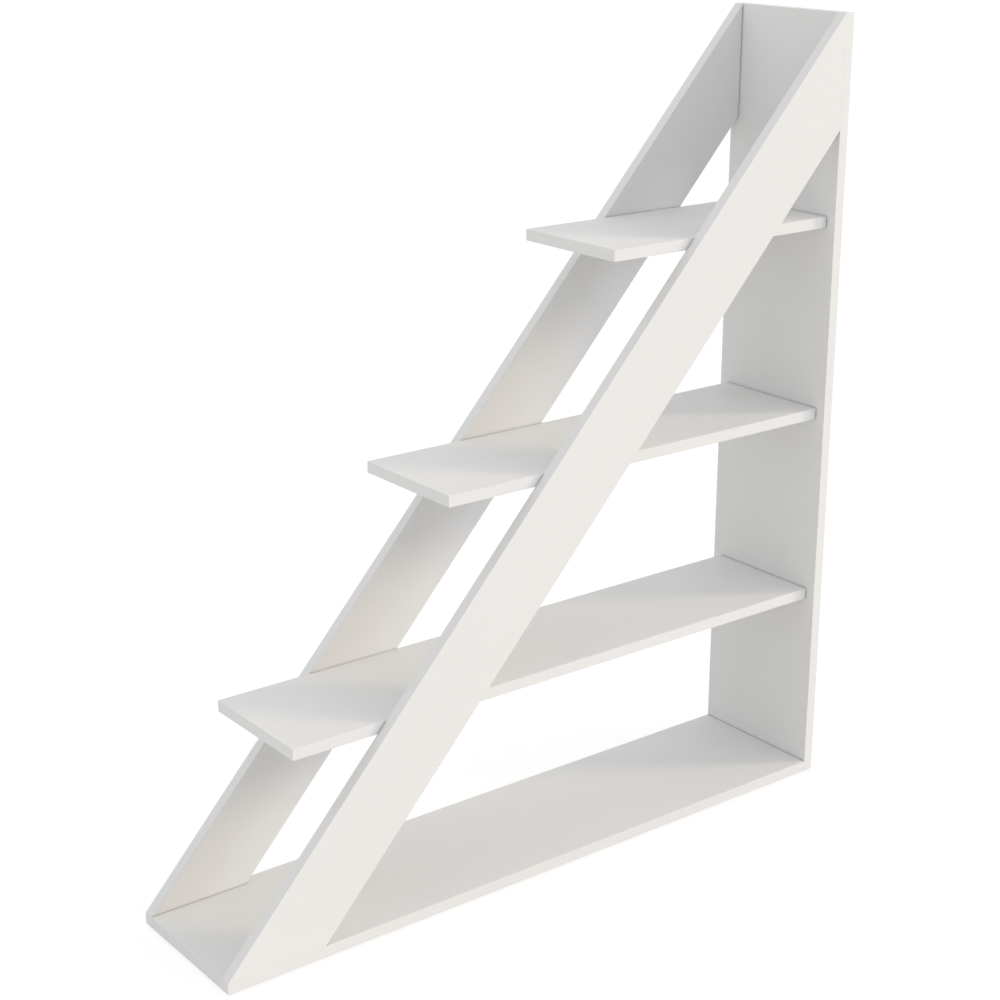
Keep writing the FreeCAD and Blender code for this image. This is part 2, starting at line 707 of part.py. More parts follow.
def make_cams():
    """Cam cups let into the undersides of the shelves, slotted for a bolt's neck on the front side."""
    cam = new_body("cam")
    outline = add_sketch(cam, "outline", "XY_Plane")
    draw_circles(outline, [("0", "0")], "sizes.cam_diameter")
    add_pad(cam, outline, "layout.cam_height")
    cup_depth = "layout.cam_height - layout.cup_floor"
    add_holes(cam, "cup", "XY_Plane", "layout.cam_height", [("0", "0")], "2 * layout.cup_radius", cup_depth)
    slot = add_sketch(cam, "slot", "XY_Plane", "layout.cam_height")
    draw_rectangle(slot, ("-layout.slot_half_width", "-sizes.cam_diameter"), ("layout.slot_half_width", "0"))
    add_pocket(cam, slot, "layout.slot_depth")
    cross = add_sketch(cam, "cross", "XY_Plane")
    arm, half = "sizes.cam_cross_length / 2", "sizes.cam_cross_width / 2"
    draw_polygon(
        cross,
        [
            (arm, f"-{half}"), (arm, half), (half, half), (half, arm), (f"-{half}", arm), (f"-{half}", half),
            (f"-{arm}", half), (f"-{arm}", f"-{half}"), (f"-{half}", f"-{half}"), (f"-{half}", f"-{arm}"),
            (half, f"-{arm}"), (half, f"-{half}"),
        ],
    )
    add_pocket(cam, cross, "sizes.cam_cross_depth", along_normal=True)
    places = [
        (
            f"layout.upright_inner - layout.{shelf}_joint",
            f"{side} * layout.cam_middle",
            f"layout.{shelf}_underside",
            AS_DRAWN if side < 0 else HALF_TURN,
        )
        for shelf in SHELVES
        for side in SIDES
    ]
    return add_group("shelf_cams", cam, places)


def make_glides():
    """Floor glides and the nails that hold them, with the nails' heads sunk clear of the floor."""
    bore, recess = "layout.nail_hole / 2", "sizes.nail_head / 2 + sizes.fastener_clearance"
    glide = turned_body(
        "glide",
        [
            (recess, "0"),
            ("sizes.glide_diameter / 2 - sizes.glide_chamfer", "0"),
            ("sizes.glide_diameter / 2", "sizes.glide_chamfer"),
            ("sizes.glide_diameter / 2", "sizes.glide_height"),
            (bore, "sizes.glide_height"),
            (bore, "layout.nail_seat"),
            (recess, "layout.nail_seat"),
        ],
    )
    nail = turned_body(
        "nail",
        [
            ("0", "layout.nail_foot"),
            ("sizes.nail_head / 2", "layout.nail_foot"),
            ("sizes.nail_head / 2", "layout.nail_seat"),
            ("sizes.nail_diameter / 2", "layout.nail_seat"),
            ("sizes.nail_diameter / 2", "layout.nail_end - sizes.nail_point"),
            ("0", "layout.nail_end"),
        ],
    )
    places = [(f"layout.left_end + {along}", deep, "0", AS_DRAWN) for along, deep in GLIDES]
    add_group("floor_glides", glide, places)
    add_group("glide_nails", nail, places)


def check_and_write():
    """Stop if anything failed, then write one file for each sub-part."""
    doc.recompute()
    for item in doc.Objects:
        if {"Invalid", "Error"} & set(item.State):
            raise RuntimeError(f"{item.Label} failed: {item.State}")
    for node in nodes:
        if node.Shape.isNull() or not node.Shape.isValid():
            raise RuntimeError(f"{node.Label} has no valid shape")
    os.makedirs("parts", exist_ok=True)
    for node in nodes:
        node.Shape.exportStep(f"parts/{node.Label}.step")
        print(f"{node.Label}: {len(node.Shape.Solids)} solids, {node.Shape.Volume / 1000:.2f} cm3")


sizes = add_sheet("sizes", [(alias, str(size), meaning) for alias, size, meaning in SIZES])
layout = add_sheet("layout", [(alias, f"={formula}", "") for alias, formula in LAYOUT])

make_base()
make_upright()
make_stringer("front_stringer", -1)
make_stringer("rear_stringer", 1)
for shelf in SHELVES:
    make_shelf(shelf)
make_base_bands()
make_upright_bands()
make_stringer_bands("front_stringer", -1)
make_stringer_bands("rear_stringer", 1)
for shelf in SHELVES:
    make_shelf_bands(shelf)
make_screws()
make_caps()
make_cams()
make_cam_bolts()
make_dowels()
make_glides()
check_and_write()
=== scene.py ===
import math

import bmesh
import bpy
from bpy.props import FloatProperty, FloatVectorProperty, IntProperty, PointerProperty
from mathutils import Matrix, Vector


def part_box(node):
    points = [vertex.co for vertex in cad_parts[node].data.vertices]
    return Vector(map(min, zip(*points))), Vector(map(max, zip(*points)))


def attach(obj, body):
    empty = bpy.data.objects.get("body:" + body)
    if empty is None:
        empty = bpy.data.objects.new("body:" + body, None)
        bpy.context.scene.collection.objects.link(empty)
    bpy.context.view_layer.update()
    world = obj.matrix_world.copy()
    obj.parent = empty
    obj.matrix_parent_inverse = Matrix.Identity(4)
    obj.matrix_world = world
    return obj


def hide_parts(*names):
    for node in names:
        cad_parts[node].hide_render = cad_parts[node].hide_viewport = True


# Staircase bookshelf: boards, edge banding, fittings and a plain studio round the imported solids.
# Metres, in the frame of the solids: +X towards the upright, +Y to the rear, +Z up.

bl_info = {
    "name": "Staircase Bookshelf",
    "version": (1, 0, 0),
    "blender": (4, 5, 0),
    "location": "View3D > Sidebar > Bookshelf",
    "description": "Boards, banding, fittings and studio of a staircase bookshelf",
    "category": "Object",
}

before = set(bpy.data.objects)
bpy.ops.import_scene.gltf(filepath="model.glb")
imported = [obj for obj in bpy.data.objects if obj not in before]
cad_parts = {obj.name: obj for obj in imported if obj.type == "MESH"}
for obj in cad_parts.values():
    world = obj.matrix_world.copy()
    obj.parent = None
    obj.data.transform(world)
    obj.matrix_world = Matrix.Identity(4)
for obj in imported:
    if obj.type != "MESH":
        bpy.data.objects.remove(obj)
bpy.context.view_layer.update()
MM = 0.001
X, Y, Z = range(3)
SHELVES = ("lower", "middle", "upper")
STRINGERS = ("front_stringer", "rear_stringer")
UP, LEFT = Vector((0, 0, 1)), Vector((-1, 0, 0))
FRONT, BACK = Vector((0, -1, 0)), Vector((0, 1, 0))


def box_of(points):
    """The low and the high corner of the box round some points."""
    return tuple(Vector(pick(point[axis] for point in points) for axis in (X, Y, Z)) for pick in (min, max))


def joint_box(*nodes):
    """The box round several solids of the frame."""
    return box_of([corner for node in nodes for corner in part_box(node)])


UPRIGHT = joint_box("upright_panel", "upright_edge_bands")
BASE = joint_box("base_panel", "base_edge_bands")
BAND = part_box("base_panel")[0].x - BASE[0].x
BOARD = BASE[1].z - BASE[0].z


# Settings


def length(name, description, default):
    return FloatProperty(
        name=name, description=description, default=default, min=0, unit="LENGTH", precision=5
    )


def colour(name, description, default):
    return FloatVectorProperty(
        name=name, description=description, default=default, size=3, min=0, max=1, subtype="COLOR"
    )


def strength(name, description, default):
    return FloatProperty(name=name, description=description, default=default, min=0)


class BoardSettings(bpy.types.PropertyGroup):
    white: colour("Board white", "Melamine on the boards' faces", (0.78, 0.78, 0.775))
    core: colour("Core", "Particles of the board's core", (0.52, 0.37, 0.22))
    joint_easing: length("Joint easing", "Rounding where a board's end meets another board", 1.3 * MM)
    foot_easing: length("Foot easing", "Rounding where a stringer's foot meets the base", 0.3 * MM)
    bore_clearance: length("Bore clearance", "Gap round a fitting in its bore", 0.1 * MM)


class BandingSettings(bpy.types.PropertyGroup):
    white: colour("Banding white", "Plastic strip on the boards' edges", (0.78, 0.78, 0.775))
    rounding: length("Rounding", "Rounding along the strip's outer edges", 0.3 * MM)


class ScrewSettings(bpy.types.PropertyGroup):
    length: length("Length", "Connecting screw, overall", 50 * MM)
    head: length("Head", "Countersunk head's diameter", 10 * MM)
    shank: length("Shank", "Plain shank's diameter", 7 * MM)
    core: length("Core", "Core diameter of the thread", 5 * MM)
    pitch: length("Pitch", "From one turn of the thread to the next", 3 * MM)
    ridge: length("Ridge", "Height of the thread", 0.9 * MM)
    socket: length("Socket", "Hexagon socket across its flats", 4 * MM)
    socket_depth: length("Socket depth", "Depth of the hexagon socket", 3.5 * MM)
    steel: colour("Zinc-plated steel", "Plating of screws, bolts and nails", (0.62, 0.62, 0.6))


class CapSettings(bpy.types.PropertyGroup):
    diameter: length("Diameter", "Cover cap", 13 * MM)
    rise: length("Rise", "How far the cap's crown stands proud", 1.6 * MM)
    rim: length("Rim", "Height of the cap's rim", 0.7 * MM)
    peg: length("Peg", "Diameter of the peg", 3.8 * MM)
    peg_length: length("Peg length", "How far the peg reaches into the socket", 3 * MM)
    white: colour("Cap white", "Moulded plastic", (0.8, 0.8, 0.79))


class CamSettings(bpy.types.PropertyGroup):
    diameter: length("Diameter", "Cam housing", 15 * MM)
    height: length("Height", "Cam housing", 13 * MM)
    wall: length("Wall", "Wall of the cup", 2.5 * MM)
    floor: length("Floor", "Thickness of the cup's floor", 4.75 * MM)
    cross: length("Cross", "Cross recess, tip to tip", 8 * MM)
    cross_width: length("Cross width", "One arm of the cross recess", 1.8 * MM)
    cross_depth: length("Cross depth", "Depth of the cross recess", 2.5 * MM)
    slot: length("Slot", "Width of the slot for the bolt's neck", 4.6 * MM)
    zinc: colour("Cast zinc", "Die-cast cams", (0.46, 0.46, 0.46))


class BoltSettings(bpy.types.PropertyGroup):
    thread: length("Thread", "Diameter of the threaded end", 5 * MM)
    thread_length: length("Thread length", "Threaded end, in the stringer", 11.5 * MM)
    stem: length("Stem", "Diameter of the stem", 6 * MM)
    stem_end: length("Stem end", "From the threaded tip to the end of the stem", 27.5 * MM)
    neck: length("Neck", "Diameter of the neck", 4 * MM)
    neck_end: length("Neck end", "From the threaded tip to the head", 31.8 * MM)
    head: length("Head", "Diameter of the head", 6.5 * MM)
    length: length("Length", "Cam bolt, overall", 34.8 * MM)


class DowelSettings(bpy.types.PropertyGroup):
    diameter: length("Diameter", "Beech dowel", 8 * MM)
    length: length("Length", "Beech dowel", 30 * MM)
    chamfer: length("Chamfer", "Both ends", 1 * MM)
    flutes: IntProperty(name="Flutes", description="Glue flutes round the dowel", default=24, min=6)
    flute_depth: length("Flute depth", "Depth of a flute", 0.25 * MM)
    beech: colour("Beech", "Steamed beech", (0.6, 0.38, 0.2))


class GlideSettings(bpy.types.PropertyGroup):
    diameter: length("Diameter", "Floor glide", 20 * MM)
    height: length("Height", "Floor glide", 4 * MM)
    rounding: length("Rounding", "Edge at the floor", 0.8 * MM)
    recess: length("Recess", "Diameter of the nail's recess", 6.2 * MM)
    seat: length("Seat", "Floor to the seat of the nail's head", 2.5 * MM)
    bore: length("Bore", "Hole for the nail", 2.6 * MM)
    nail: length("Nail", "Diameter of the nail", 2.4 * MM)
    nail_head: length("Nail head", "Diameter of the nail's head", 6 * MM)
    nail_head_height: length("Nail head height", "Thickness of the nail's head", 1.2 * MM)
    nail_length: length("Nail length", "Nail from under its head", 14 * MM)
    nail_point: length("Nail point", "Length of the point", 3 * MM)
    plastic: colour("Glide plastic", "Moulded glide", (0.7, 0.7, 0.67))


class StageSettings(bpy.types.PropertyGroup):
    floor: colour("Floor", "Pale floor", (0.84, 0.84, 0.84))
    dome: colour("Dome", "Even light from all round", (0.785, 0.792, 0.798))
    key: colour("Key", "Warm key light", (1.0, 0.789, 0.553))
    key_strength: strength("Key strength", "Warm key light", 1.118)
    fill: colour("Fill", "Cool fill light from the front", (0.833, 0.873, 1.0))
    fill_strength: strength("Fill strength", "Cool fill light", 0.48)
    side: colour("Side", "Soft light from above the left end", (1.0, 1.0, 1.0))
    side_strength: strength("Side strength", "Soft side light", 0.15)
    camera: FloatVectorProperty(
        name="Camera", description="Where the camera stands", default=(-1.748, -2.2516, 1.5525),
        size=3, subtype="TRANSLATION", unit="LENGTH",
    )
    lens: FloatProperty(
        name="Lens", description="Focal length in millimetres", default=70.13, min=1, unit="CAMERA"
    )


SETTINGS = {
    "bookshelf_boards": BoardSettings,
    "bookshelf_banding": BandingSettings,
    "bookshelf_screws": ScrewSettings,
    "bookshelf_caps": CapSettings,
    "bookshelf_cams": CamSettings,
    "bookshelf_bolts": BoltSettings,
    "bookshelf_dowels": DowelSettings,
    "bookshelf_glides": GlideSettings,
    "bookshelf_stage": StageSettings,
}


# Node helpers


def add(tree, kind, inputs=None, output=0, **settings):
    """Add a node, set or link its inputs by name or number, and give one of its outputs."""
    node = tree.nodes.new(kind)
    for key, value in settings.items():
        setattr(node, key, value)
    for key, value in (inputs or {}).items():
        if isinstance(value, bpy.types.NodeSocket):
            tree.links.new(value, node.inputs[key])
        else:
            node.inputs[key].default_value = value
    return node.outputs[output] if len(node.outputs) else node


def calc(tree, operation, *values):
    """A Math node on sockets or numbers."""
    return add(tree, "ShaderNodeMath", dict(enumerate(values)), operation=operation)


def times(tree, first, second):
    return calc(tree, "MULTIPLY", first, second)


def plus(tree, first, second):
    return calc(tree, "ADD", first, second)


def minus(tree, first, second):
    return calc(tree, "SUBTRACT", first, second)


def ramp(tree, value, low, high, to_low=0.0, to_high=1.0, smooth=False):
    """Map a value from one range to another, held at both ends."""
    inputs = {"Value": value, "From Min": low, "From Max": high, "To Min": to_low, "To Max": to_high}
    return add(tree, "ShaderNodeMapRange", inputs, interpolation_type="SMOOTHSTEP" if smooth else "LINEAR")


def mix(tree, factor, first, second):
    """Mix two colours, whose sockets have these numbers on the node."""
    return add(tree, "ShaderNodeMix", {0: factor, 6: first, 7: second}, 2, data_type="RGBA")


def noise(tree, where, scale, detail=2.0, roughness=0.5, distortion=0.0):
    inputs = {
        "Vector": where, "Scale": scale, "Detail": detail, "Roughness": roughness, "Distortion": distortion,
    }
    return add(tree, "ShaderNodeTexNoise", inputs)


def on_piece(tree):
    """The place on a piece, in the object's coordinates."""
    return add(tree, "ShaderNodeTexCoord", output="Object")


def stretched(tree, where, scale):
    return add(tree, "ShaderNodeMapping", {"Vector": where, "Scale": scale})


def new_tree(name, kind, inputs, outputs):
    """A node group with named sockets: the tree, its input node and its output node."""
    tree = bpy.data.node_groups.new(name, kind)
    for side, sockets in (("INPUT", inputs), ("OUTPUT", outputs)):
        for title, socket_type, *default in sockets:
            socket = tree.interface.new_socket(title, in_out=side, socket_type=f"NodeSocket{socket_type}")
            if default:
                socket.default_value = default[0]
    return tree, tree.nodes.new("NodeGroupInput").outputs, tree.nodes.new("NodeGroupOutput").inputs


# Effects that several finishes share


# Painted shade: ambient occlusion in corners darkens the colour of white surfaces within this reach, by
# this share
PAINTED_SHADE_REACH = 3.8 * MM
PAINTED_SHADE_DEPTH = 0.3
PAINTED_SHADE_SAMPLES = 4
SCUFF_EDGE = 0.12
FINER = 1.7


def pressed_grain_group():
    """The fine pearl texture that a press plate or mould leaves: height and tone."""
    tree, given, result = new_tree(
        "Pressed grain", "ShaderNodeTree",
        [("Scale", "Float", 900.0), ("Cell share", "Float", 0.4)],
        [("Height", "Float"), ("Tone", "Float")],
    )
    where = on_piece(tree)
    pattern = {"Vector": where, "Scale": given["Scale"]}
    pebbles = add(tree, "ShaderNodeTexVoronoi", pattern, feature="SMOOTH_F1")
    fine = noise(tree, where, times(tree, given["Scale"], FINER), roughness=0.6)
    cells = times(tree, pebbles, given["Cell share"])
    rest = times(tree, fine, minus(tree, 1.0, given["Cell share"]))
    tree.links.new(plus(tree, cells, rest), result["Height"])
    tree.links.new(ramp(tree, fine, 0.35, 0.65), result["Tone"])
    return tree


def handling_group():
    """What use leaves on a surface: slow changes of tone, faint smudges, and dust where it faces up."""
    tree, given, result = new_tree(
        "Handling", "ShaderNodeTree",
        [("Scale", "Float", 3.0), ("Smudge size", "Float", 14.0)],
        [("Tone", "Float"), ("Smudge", "Float"), ("Dust", "Float")],
    )
    coordinates = tree.nodes.new("ShaderNodeTexCoord")
    where = coordinates.outputs["Object"]
    clouds = noise(tree, where, given["Scale"], detail=3.0)
    tree.links.new(ramp(tree, clouds, 0.3, 0.7, smooth=True), result["Tone"])
    patches = noise(tree, where, given["Smudge size"], detail=4.0, roughness=0.6, distortion=0.8)
    tree.links.new(ramp(tree, patches, 0.52, 0.72, smooth=True), result["Smudge"])
    facing = add(tree, "ShaderNodeSeparateXYZ", {"Vector": coordinates.outputs["Normal"]}, "Z")
    specks = ramp(tree, noise(tree, where, scale=260.0, detail=3.0, roughness=0.7), 0.55, 0.75)
    drift = ramp(tree, noise(tree, where, scale=6.0), 0.35, 0.75, to_low=0.2)
    upward = ramp(tree, facing, 0.7, 0.95)
    tree.links.new(times(tree, times(tree, specks, drift), upward), result["Dust"])
    return tree


def scuff_group():
    """Fine scratches that run mostly one way."""
    tree, given, result = new_tree(
        "Scuffs", "ShaderNodeTree",
        [("Scale", "Float", 300.0), ("Stretch", "Vector", (1.0, 1.0, 8.0)), ("Threshold", "Float", 0.6)],
        [("Mask", "Float"), ("Height", "Float")],
    )
    where = stretched(tree, on_piece(tree), given["Stretch"])
    lines = noise(tree, where, given["Scale"], detail=4.0, roughness=0.65, distortion=0.3)
    above = plus(tree, given["Threshold"], SCUFF_EDGE)
    tree.links.new(ramp(tree, lines, given["Threshold"], above), result["Mask"])
    tree.links.new(lines, result["Height"])
    return tree


def painted_joint_shade_group():
    """Painted shade where surfaces meet, from ambient occlusion: 1 in the corner, 0 a little way off."""
    tree, given, result = new_tree(
        "Joint shade", "ShaderNodeTree", [("Reach", "Float", PAINTED_SHADE_REACH)], [("Shade", "Float")]
    )
    inputs = {"Distance": given["Reach"]}
    # Painted shade: how open the surface is within reach, turned into a darkening mask
    open_share = add(tree, "ShaderNodeAmbientOcclusion", inputs, "AO", samples=PAINTED_SHADE_SAMPLES)
    tree.links.new(ramp(tree, open_share, 0.5, 1.0, to_low=1.0, to_high=0.0), result["Shade"])
    return tree


# Finishes


BLACK, WHITE = (0, 0, 0, 1), (1, 1, 1, 1)
DUST = (0.6, 0.58, 0.55, 1)
STRAW_TINT = (1.05, 0.99, 0.86)
FADED = 0.985
MARKED = 0.97
SMUDGE_SHEEN = -0.07


def rgba(values, share=1.0):
    return (*(value * share for value in values), 1.0)


def new_finish(name):
    """An empty material's node tree and its shader."""
    material = bpy.data.materials.new(name)
    material.use_nodes = True
    return material.node_tree, material.node_tree.nodes["Principled BSDF"]


def use_group(tree, group, **values):
    """Place a shared effect in a finish with its own values."""
    node = tree.nodes.new("ShaderNodeGroup")
    node.node_tree = group
    for key, value in values.items():
        node.inputs[key.replace("_", " ")].default_value = value
    return node.outputs


def varied(tree, base, mask, change):
    """A value that a mask raises or lowers."""
    return plus(tree, base, times(tree, mask, change))


def connect(tree, shader, height, depth, **sockets):
    """Link values to the shader, and a height of so many metres as its bump."""
    sockets["Normal"] = add(tree, "ShaderNodeBump", {"Height": height, "Distance": depth, "Strength": 1.0})
    for key, value in sockets.items():
        tree.links.new(value, shader.inputs[key.replace("_", " ")])


def whitened(tree, groups, use, white, marks, dust):
    """The colour of a white surface: uneven in tone, marked, dusted, and darkened by painted shade where
    surfaces meet.
    """
    tone = mix(tree, use["Tone"], rgba(white), rgba(white, FADED))
    marked = mix(tree, marks, tone, rgba(white, MARKED))
    dusted = mix(tree, times(tree, use["Dust"], dust), marked, DUST)
    # Painted shade: ambient occlusion mixes the colour towards black in corners and creases
    joint = use_group(tree, groups["joint"], Reach=PAINTED_SHADE_REACH)
    return mix(tree, times(tree, joint["Shade"], PAINTED_SHADE_DEPTH), dusted, BLACK)


def melamine_finish(name, white, groups):
    """White melamine: pearl-pressed, barely uneven in tone, a little shinier where hands have been."""
    tree, shader = new_finish(name)
    grain = use_group(tree, groups["grain"], Scale=850.0, Cell_share=0.45)
    use = use_group(tree, groups["handling"], Scale=2.2, Smudge_size=9.0)
    shade = whitened(tree, groups, use, white, times(tree, grain["Tone"], 0.35), dust=0.12)
    sheen = varied(tree, 0.56, use["Smudge"], SMUDGE_SHEEN)
    rough = varied(tree, sheen, grain["Tone"], change=0.05)
    connect(tree, shader, grain["Height"], depth=0.06 * MM, Base_Color=shade, Roughness=rough)


def chipboard_finish(name, core):
    """Raw particle board, where a sawn end or a bore shows it."""
    tree, shader = new_finish(name)
    where = on_piece(tree)
    pattern = {"Vector": where, "Scale": 420.0, "Randomness": 1.0}
    chips = add(tree, "ShaderNodeTexVoronoi", pattern, "Color", feature="F1")
    shade = add(tree, "ShaderNodeSeparateColor", {"Color": chips}, "Red")
    mottled = mix(tree, shade, rgba(core, 0.55), rgba(core, 1.25))
    fibres = noise(tree, where, scale=1500.0, detail=3.0, roughness=0.7)
    softened = mix(tree, ramp(tree, fibres, 0.3, 0.7, to_high=0.5), mottled, rgba(core, 0.8))
    connect(tree, shader, plus(tree, shade, fibres), depth=0.3 * MM, Base_Color=softened)
    shader.inputs["Roughness"].default_value = 0.92


def banding_finish(name, white, groups):
    """Satin plastic strip with faint lines from its extrusion."""
    tree, shader = new_finish(name)
    use = use_group(tree, groups["handling"], Scale=4.0, Smudge_size=20.0)
    grain = use_group(tree, groups["grain"], Scale=1600.0, Cell_share=0.2)
    strip = add(tree, "ShaderNodeUVMap", uv_map="strip")
    lines = noise(tree, stretched(tree, strip, (4.0, 2600.0, 1.0)), scale=1.0, roughness=0.6)
    shade = whitened(tree, groups, use, white, ramp(tree, lines, 0.4, 0.7, to_high=0.25), dust=0.1)
    rough = varied(tree, 0.58, use["Smudge"], SMUDGE_SHEEN)
    height = varied(tree, lines, grain["Height"], change=0.5)
    connect(tree, shader, height, depth=0.03 * MM, Base_Color=shade, Roughness=rough)


def plated_finish(name, steel, groups):
    """Bright zinc plating with a faint straw tint and fine scuffs."""
    tree, shader = new_finish(name)
    use = use_group(tree, groups["handling"], Scale=60.0, Smudge_size=160.0)
    marks = use_group(tree, groups["scuffs"], Scale=900.0, Stretch=(1.0, 1.0, 0.2), Threshold=0.58)
    straw = rgba([value * share for value, share in zip(steel, STRAW_TINT)])
    tint = mix(tree, use["Tone"], rgba(steel), straw)
    dulled = mix(tree, times(tree, use["Smudge"], 0.5), tint, rgba(steel, 0.75))
    rough = varied(tree, 0.27, marks["Mask"], change=0.2)
    connect(tree, shader, marks["Height"], depth=0.02 * MM, Base_Color=dulled, Roughness=rough)
    shader.inputs["Metallic"].default_value = 1.0


def cast_finish(name, zinc, groups):
    """Dull die-cast zinc with a sandy skin."""
    tree, shader = new_finish(name)
    grain = use_group(tree, groups["grain"], Scale=2400.0, Cell_share=0.3)
    use = use_group(tree, groups["handling"], Scale=70.0, Smudge_size=220.0)
    tone = mix(tree, use["Tone"], rgba(zinc), rgba(zinc, 0.8))
    specks = mix(tree, times(tree, grain["Tone"], 0.3), tone, rgba(zinc, 1.25))
    rough = varied(tree, 0.42, grain["Tone"], change=0.16)
    connect(tree, shader, grain["Height"], depth=0.08 * MM, Base_Color=specks, Roughness=rough)
    shader.inputs["Metallic"].default_value = 1.0


def moulded_finish(name, plastic, groups, scuffed):
    """Injection-moulded plastic: fine grain, and scuffs where it rubs."""
    tree, shader = new_finish(name)
    grain = use_group(tree, groups["grain"], Scale=3200.0, Cell_share=0.25)
    use = use_group(tree, groups["handling"], Scale=45.0, Smudge_size=130.0)
    marks = use_group(tree, groups["scuffs"], Scale=260.0, Stretch=(1.0, 6.0, 1.0), Threshold=0.6)
    tone = mix(tree, use["Tone"], rgba(plastic), rgba(plastic, MARKED))
    worn = mix(tree, times(tree, marks["Mask"], scuffed), tone, rgba(plastic, 0.6))
    rough = varied(tree, 0.34, use["Smudge"], change=0.12)
    connect(tree, shader, grain["Height"], depth=0.03 * MM, Base_Color=worn, Roughness=rough)


def beech_finish(name, beech):
    """Beech, with its grain along the dowel and short dark flecks."""
    tree, shader = new_finish(name)
    where = on_piece(tree)
    fibres = stretched(tree, where, (900.0, 60.0, 900.0))
    grain = noise(tree, fibres, scale=1.0, detail=3.0, roughness=0.6, distortion=0.4)
    flecks = noise(tree, stretched(tree, where, (2200.0, 350.0, 2200.0)), scale=1.0, detail=1.0)
    wood = mix(tree, ramp(tree, grain, 0.35, 0.65), rgba(beech, 1.12), rgba(beech, 0.85))
    flecked = mix(tree, ramp(tree, flecks, 0.62, 0.72, to_high=0.6), wood, rgba(beech, 0.5))
    connect(tree, shader, grain, depth=0.1 * MM, Base_Color=flecked)
    shader.inputs["Roughness"].default_value = 0.7


def finishes():
    """Every finish by name, made once."""
    if "white_board_faces" not in bpy.data.materials:
        scene = bpy.context.scene
        groups = {
            "grain": pressed_grain_group(), "handling": handling_group(), "scuffs": scuff_group(),
            "joint": painted_joint_shade_group(),
        }
        melamine_finish("white_board_faces", scene.bookshelf_boards.white, groups)
        chipboard_finish("chipboard_core", scene.bookshelf_boards.core)
        banding_finish("satin_banding", scene.bookshelf_banding.white, groups)
        plated_finish("zinc_plated_steel", scene.bookshelf_screws.steel, groups)
        cast_finish("cast_zinc", scene.bookshelf_cams.zinc, groups)
        moulded_finish("cap_plastic", scene.bookshelf_caps.white, groups, scuffed=0.05)
        moulded_finish("glide_plastic", scene.bookshelf_glides.plastic, groups, scuffed=0.5)
        beech_finish("beech_grain", scene.bookshelf_dowels.beech)
    return bpy.data.materials


# Boards and banding, lofted through rings of points


SMOOTH_ANGLE = math.radians(32)
MERGE = 0.0001 * MM
NEAR = 0.01 * MM
EASING_STEPS = 6
ROUNDING_STEPS = 4
FLAT_MARGIN = 0.05 * MM
THINNEST = 0.03
FACED = 0.05


def quarter_turn(steps):
    """Angles from nothing to a right angle."""
    return [math.pi / 2 * step / steps for step in range(steps + 1)]


def quarter_round(radius, steps):
    """A rounded edge in steps: how far each is short of one face, and how far it stands off the other."""
    return [(radius * (1 - math.sin(turn)), radius * (1 - math.cos(turn))) for turn in quarter_turn(steps)]


def loft(shapes, materials, pick=None):
    """A mesh of closed shapes, each lofted through rings that have the same number of points.

    A ring is a list of (place, (along, across)) pairs; pick gives a face's material number from its normal.
    """
    made = bmesh.new()
    strip = made.loops.layers.uv.new("strip")
    for rings in shapes:
        loops = [[made.verts.new(place) for place, _ in ring] for ring in rings]
        marks = {vert: mark for loop, ring in zip(loops, rings) for vert, (_, mark) in zip(loop, ring)}
        faces = [made.faces.new(reversed(loops[0])), made.faces.new(loops[-1])]
        for lower, upper in zip(loops, loops[1:]):
            for index in range(len(lower)):
                after = (index + 1) % len(lower)
                faces.append(made.faces.new((lower[index], lower[after], upper[after], upper[index])))
        for face in faces:
            for corner in face.loops:
                corner[strip].uv = marks[corner.vert]
        bmesh.ops.remove_doubles(made, verts=list(marks), dist=MERGE)
        shell = dict.fromkeys(face for vert in marks if vert.is_valid for face in vert.link_faces)
        bmesh.ops.recalc_face_normals(made, faces=list(shell))
    made.normal_update()
    for face in made.faces:
        face.smooth = True
        face.material_index = pick(face.normal) if pick else 0
    mesh = bpy.data.meshes.new("loft")
    made.to_mesh(mesh)
    made.free()
    for material in materials:
        mesh.materials.append(material)
    mesh.set_sharp_from_angle(angle=SMOOTH_ANGLE)
    return mesh


def easing(radius):
    """Rounding of a board's end in steps: distance from the end, and how far the section draws in.

    It starts a margin before the rounding, so that the long flat beside it shades as a flat.
    """
    return [(radius + FLAT_MARGIN, 0.0)] + quarter_round(radius, EASING_STEPS)


def strip_section(width, rounding):
    """A strip's section, glued side at depth 0: (depth, across) points, rounded at the two outer edges."""
    points = [(0.0, 0.0), (BAND - rounding - FLAT_MARGIN, 0.0)]
    points += [(BAND - short, off) for short, off in quarter_round(rounding, ROUNDING_STEPS)]
    points.append((BAND, rounding + FLAT_MARGIN))
    return points + [(depth, width - across) for depth, across in reversed(points)]


def strip_rings(section, ends, place):
    """Rings at a straight strip's ends; place gives a point from its end, depth and distance across."""
    return [
        [(Vector(place(end, depth, across)), (end, across)) for depth, across in section] for end in ends
    ]


def finish_piece(name, mesh, slot, *nodes):
    """Put a finished mesh in the scene in place of solids of the frame."""
    piece = bpy.data.objects.new(name, mesh)
    bpy.context.scene.collection.objects.link(piece)
    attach(piece, "root")
    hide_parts(*nodes)


def flat_core(low, high, radius, drawn):
    """Rings of the core of a level board with this box, from its left end to its eased right end.

    drawn says how the section draws in with the easing: (front and rear, underside, top) shares.
    """
    sides, under, over = drawn
    rings = []
    for away, inset in [(high.x - low.x - BAND, 0.0)] + easing(radius):
        side = BAND + max(0.0, inset - BAND) * sides
        front, rear = low.y + side, high.y - side
        bottom, top = low.z + inset * under, high.z - inset * over
        x = high.x - away
        corners = ((front, bottom), (rear, bottom), (rear, top), (front, top))
        rings.append([(Vector((x, y, z)), (x, y)) for y, z in corners])
    return rings


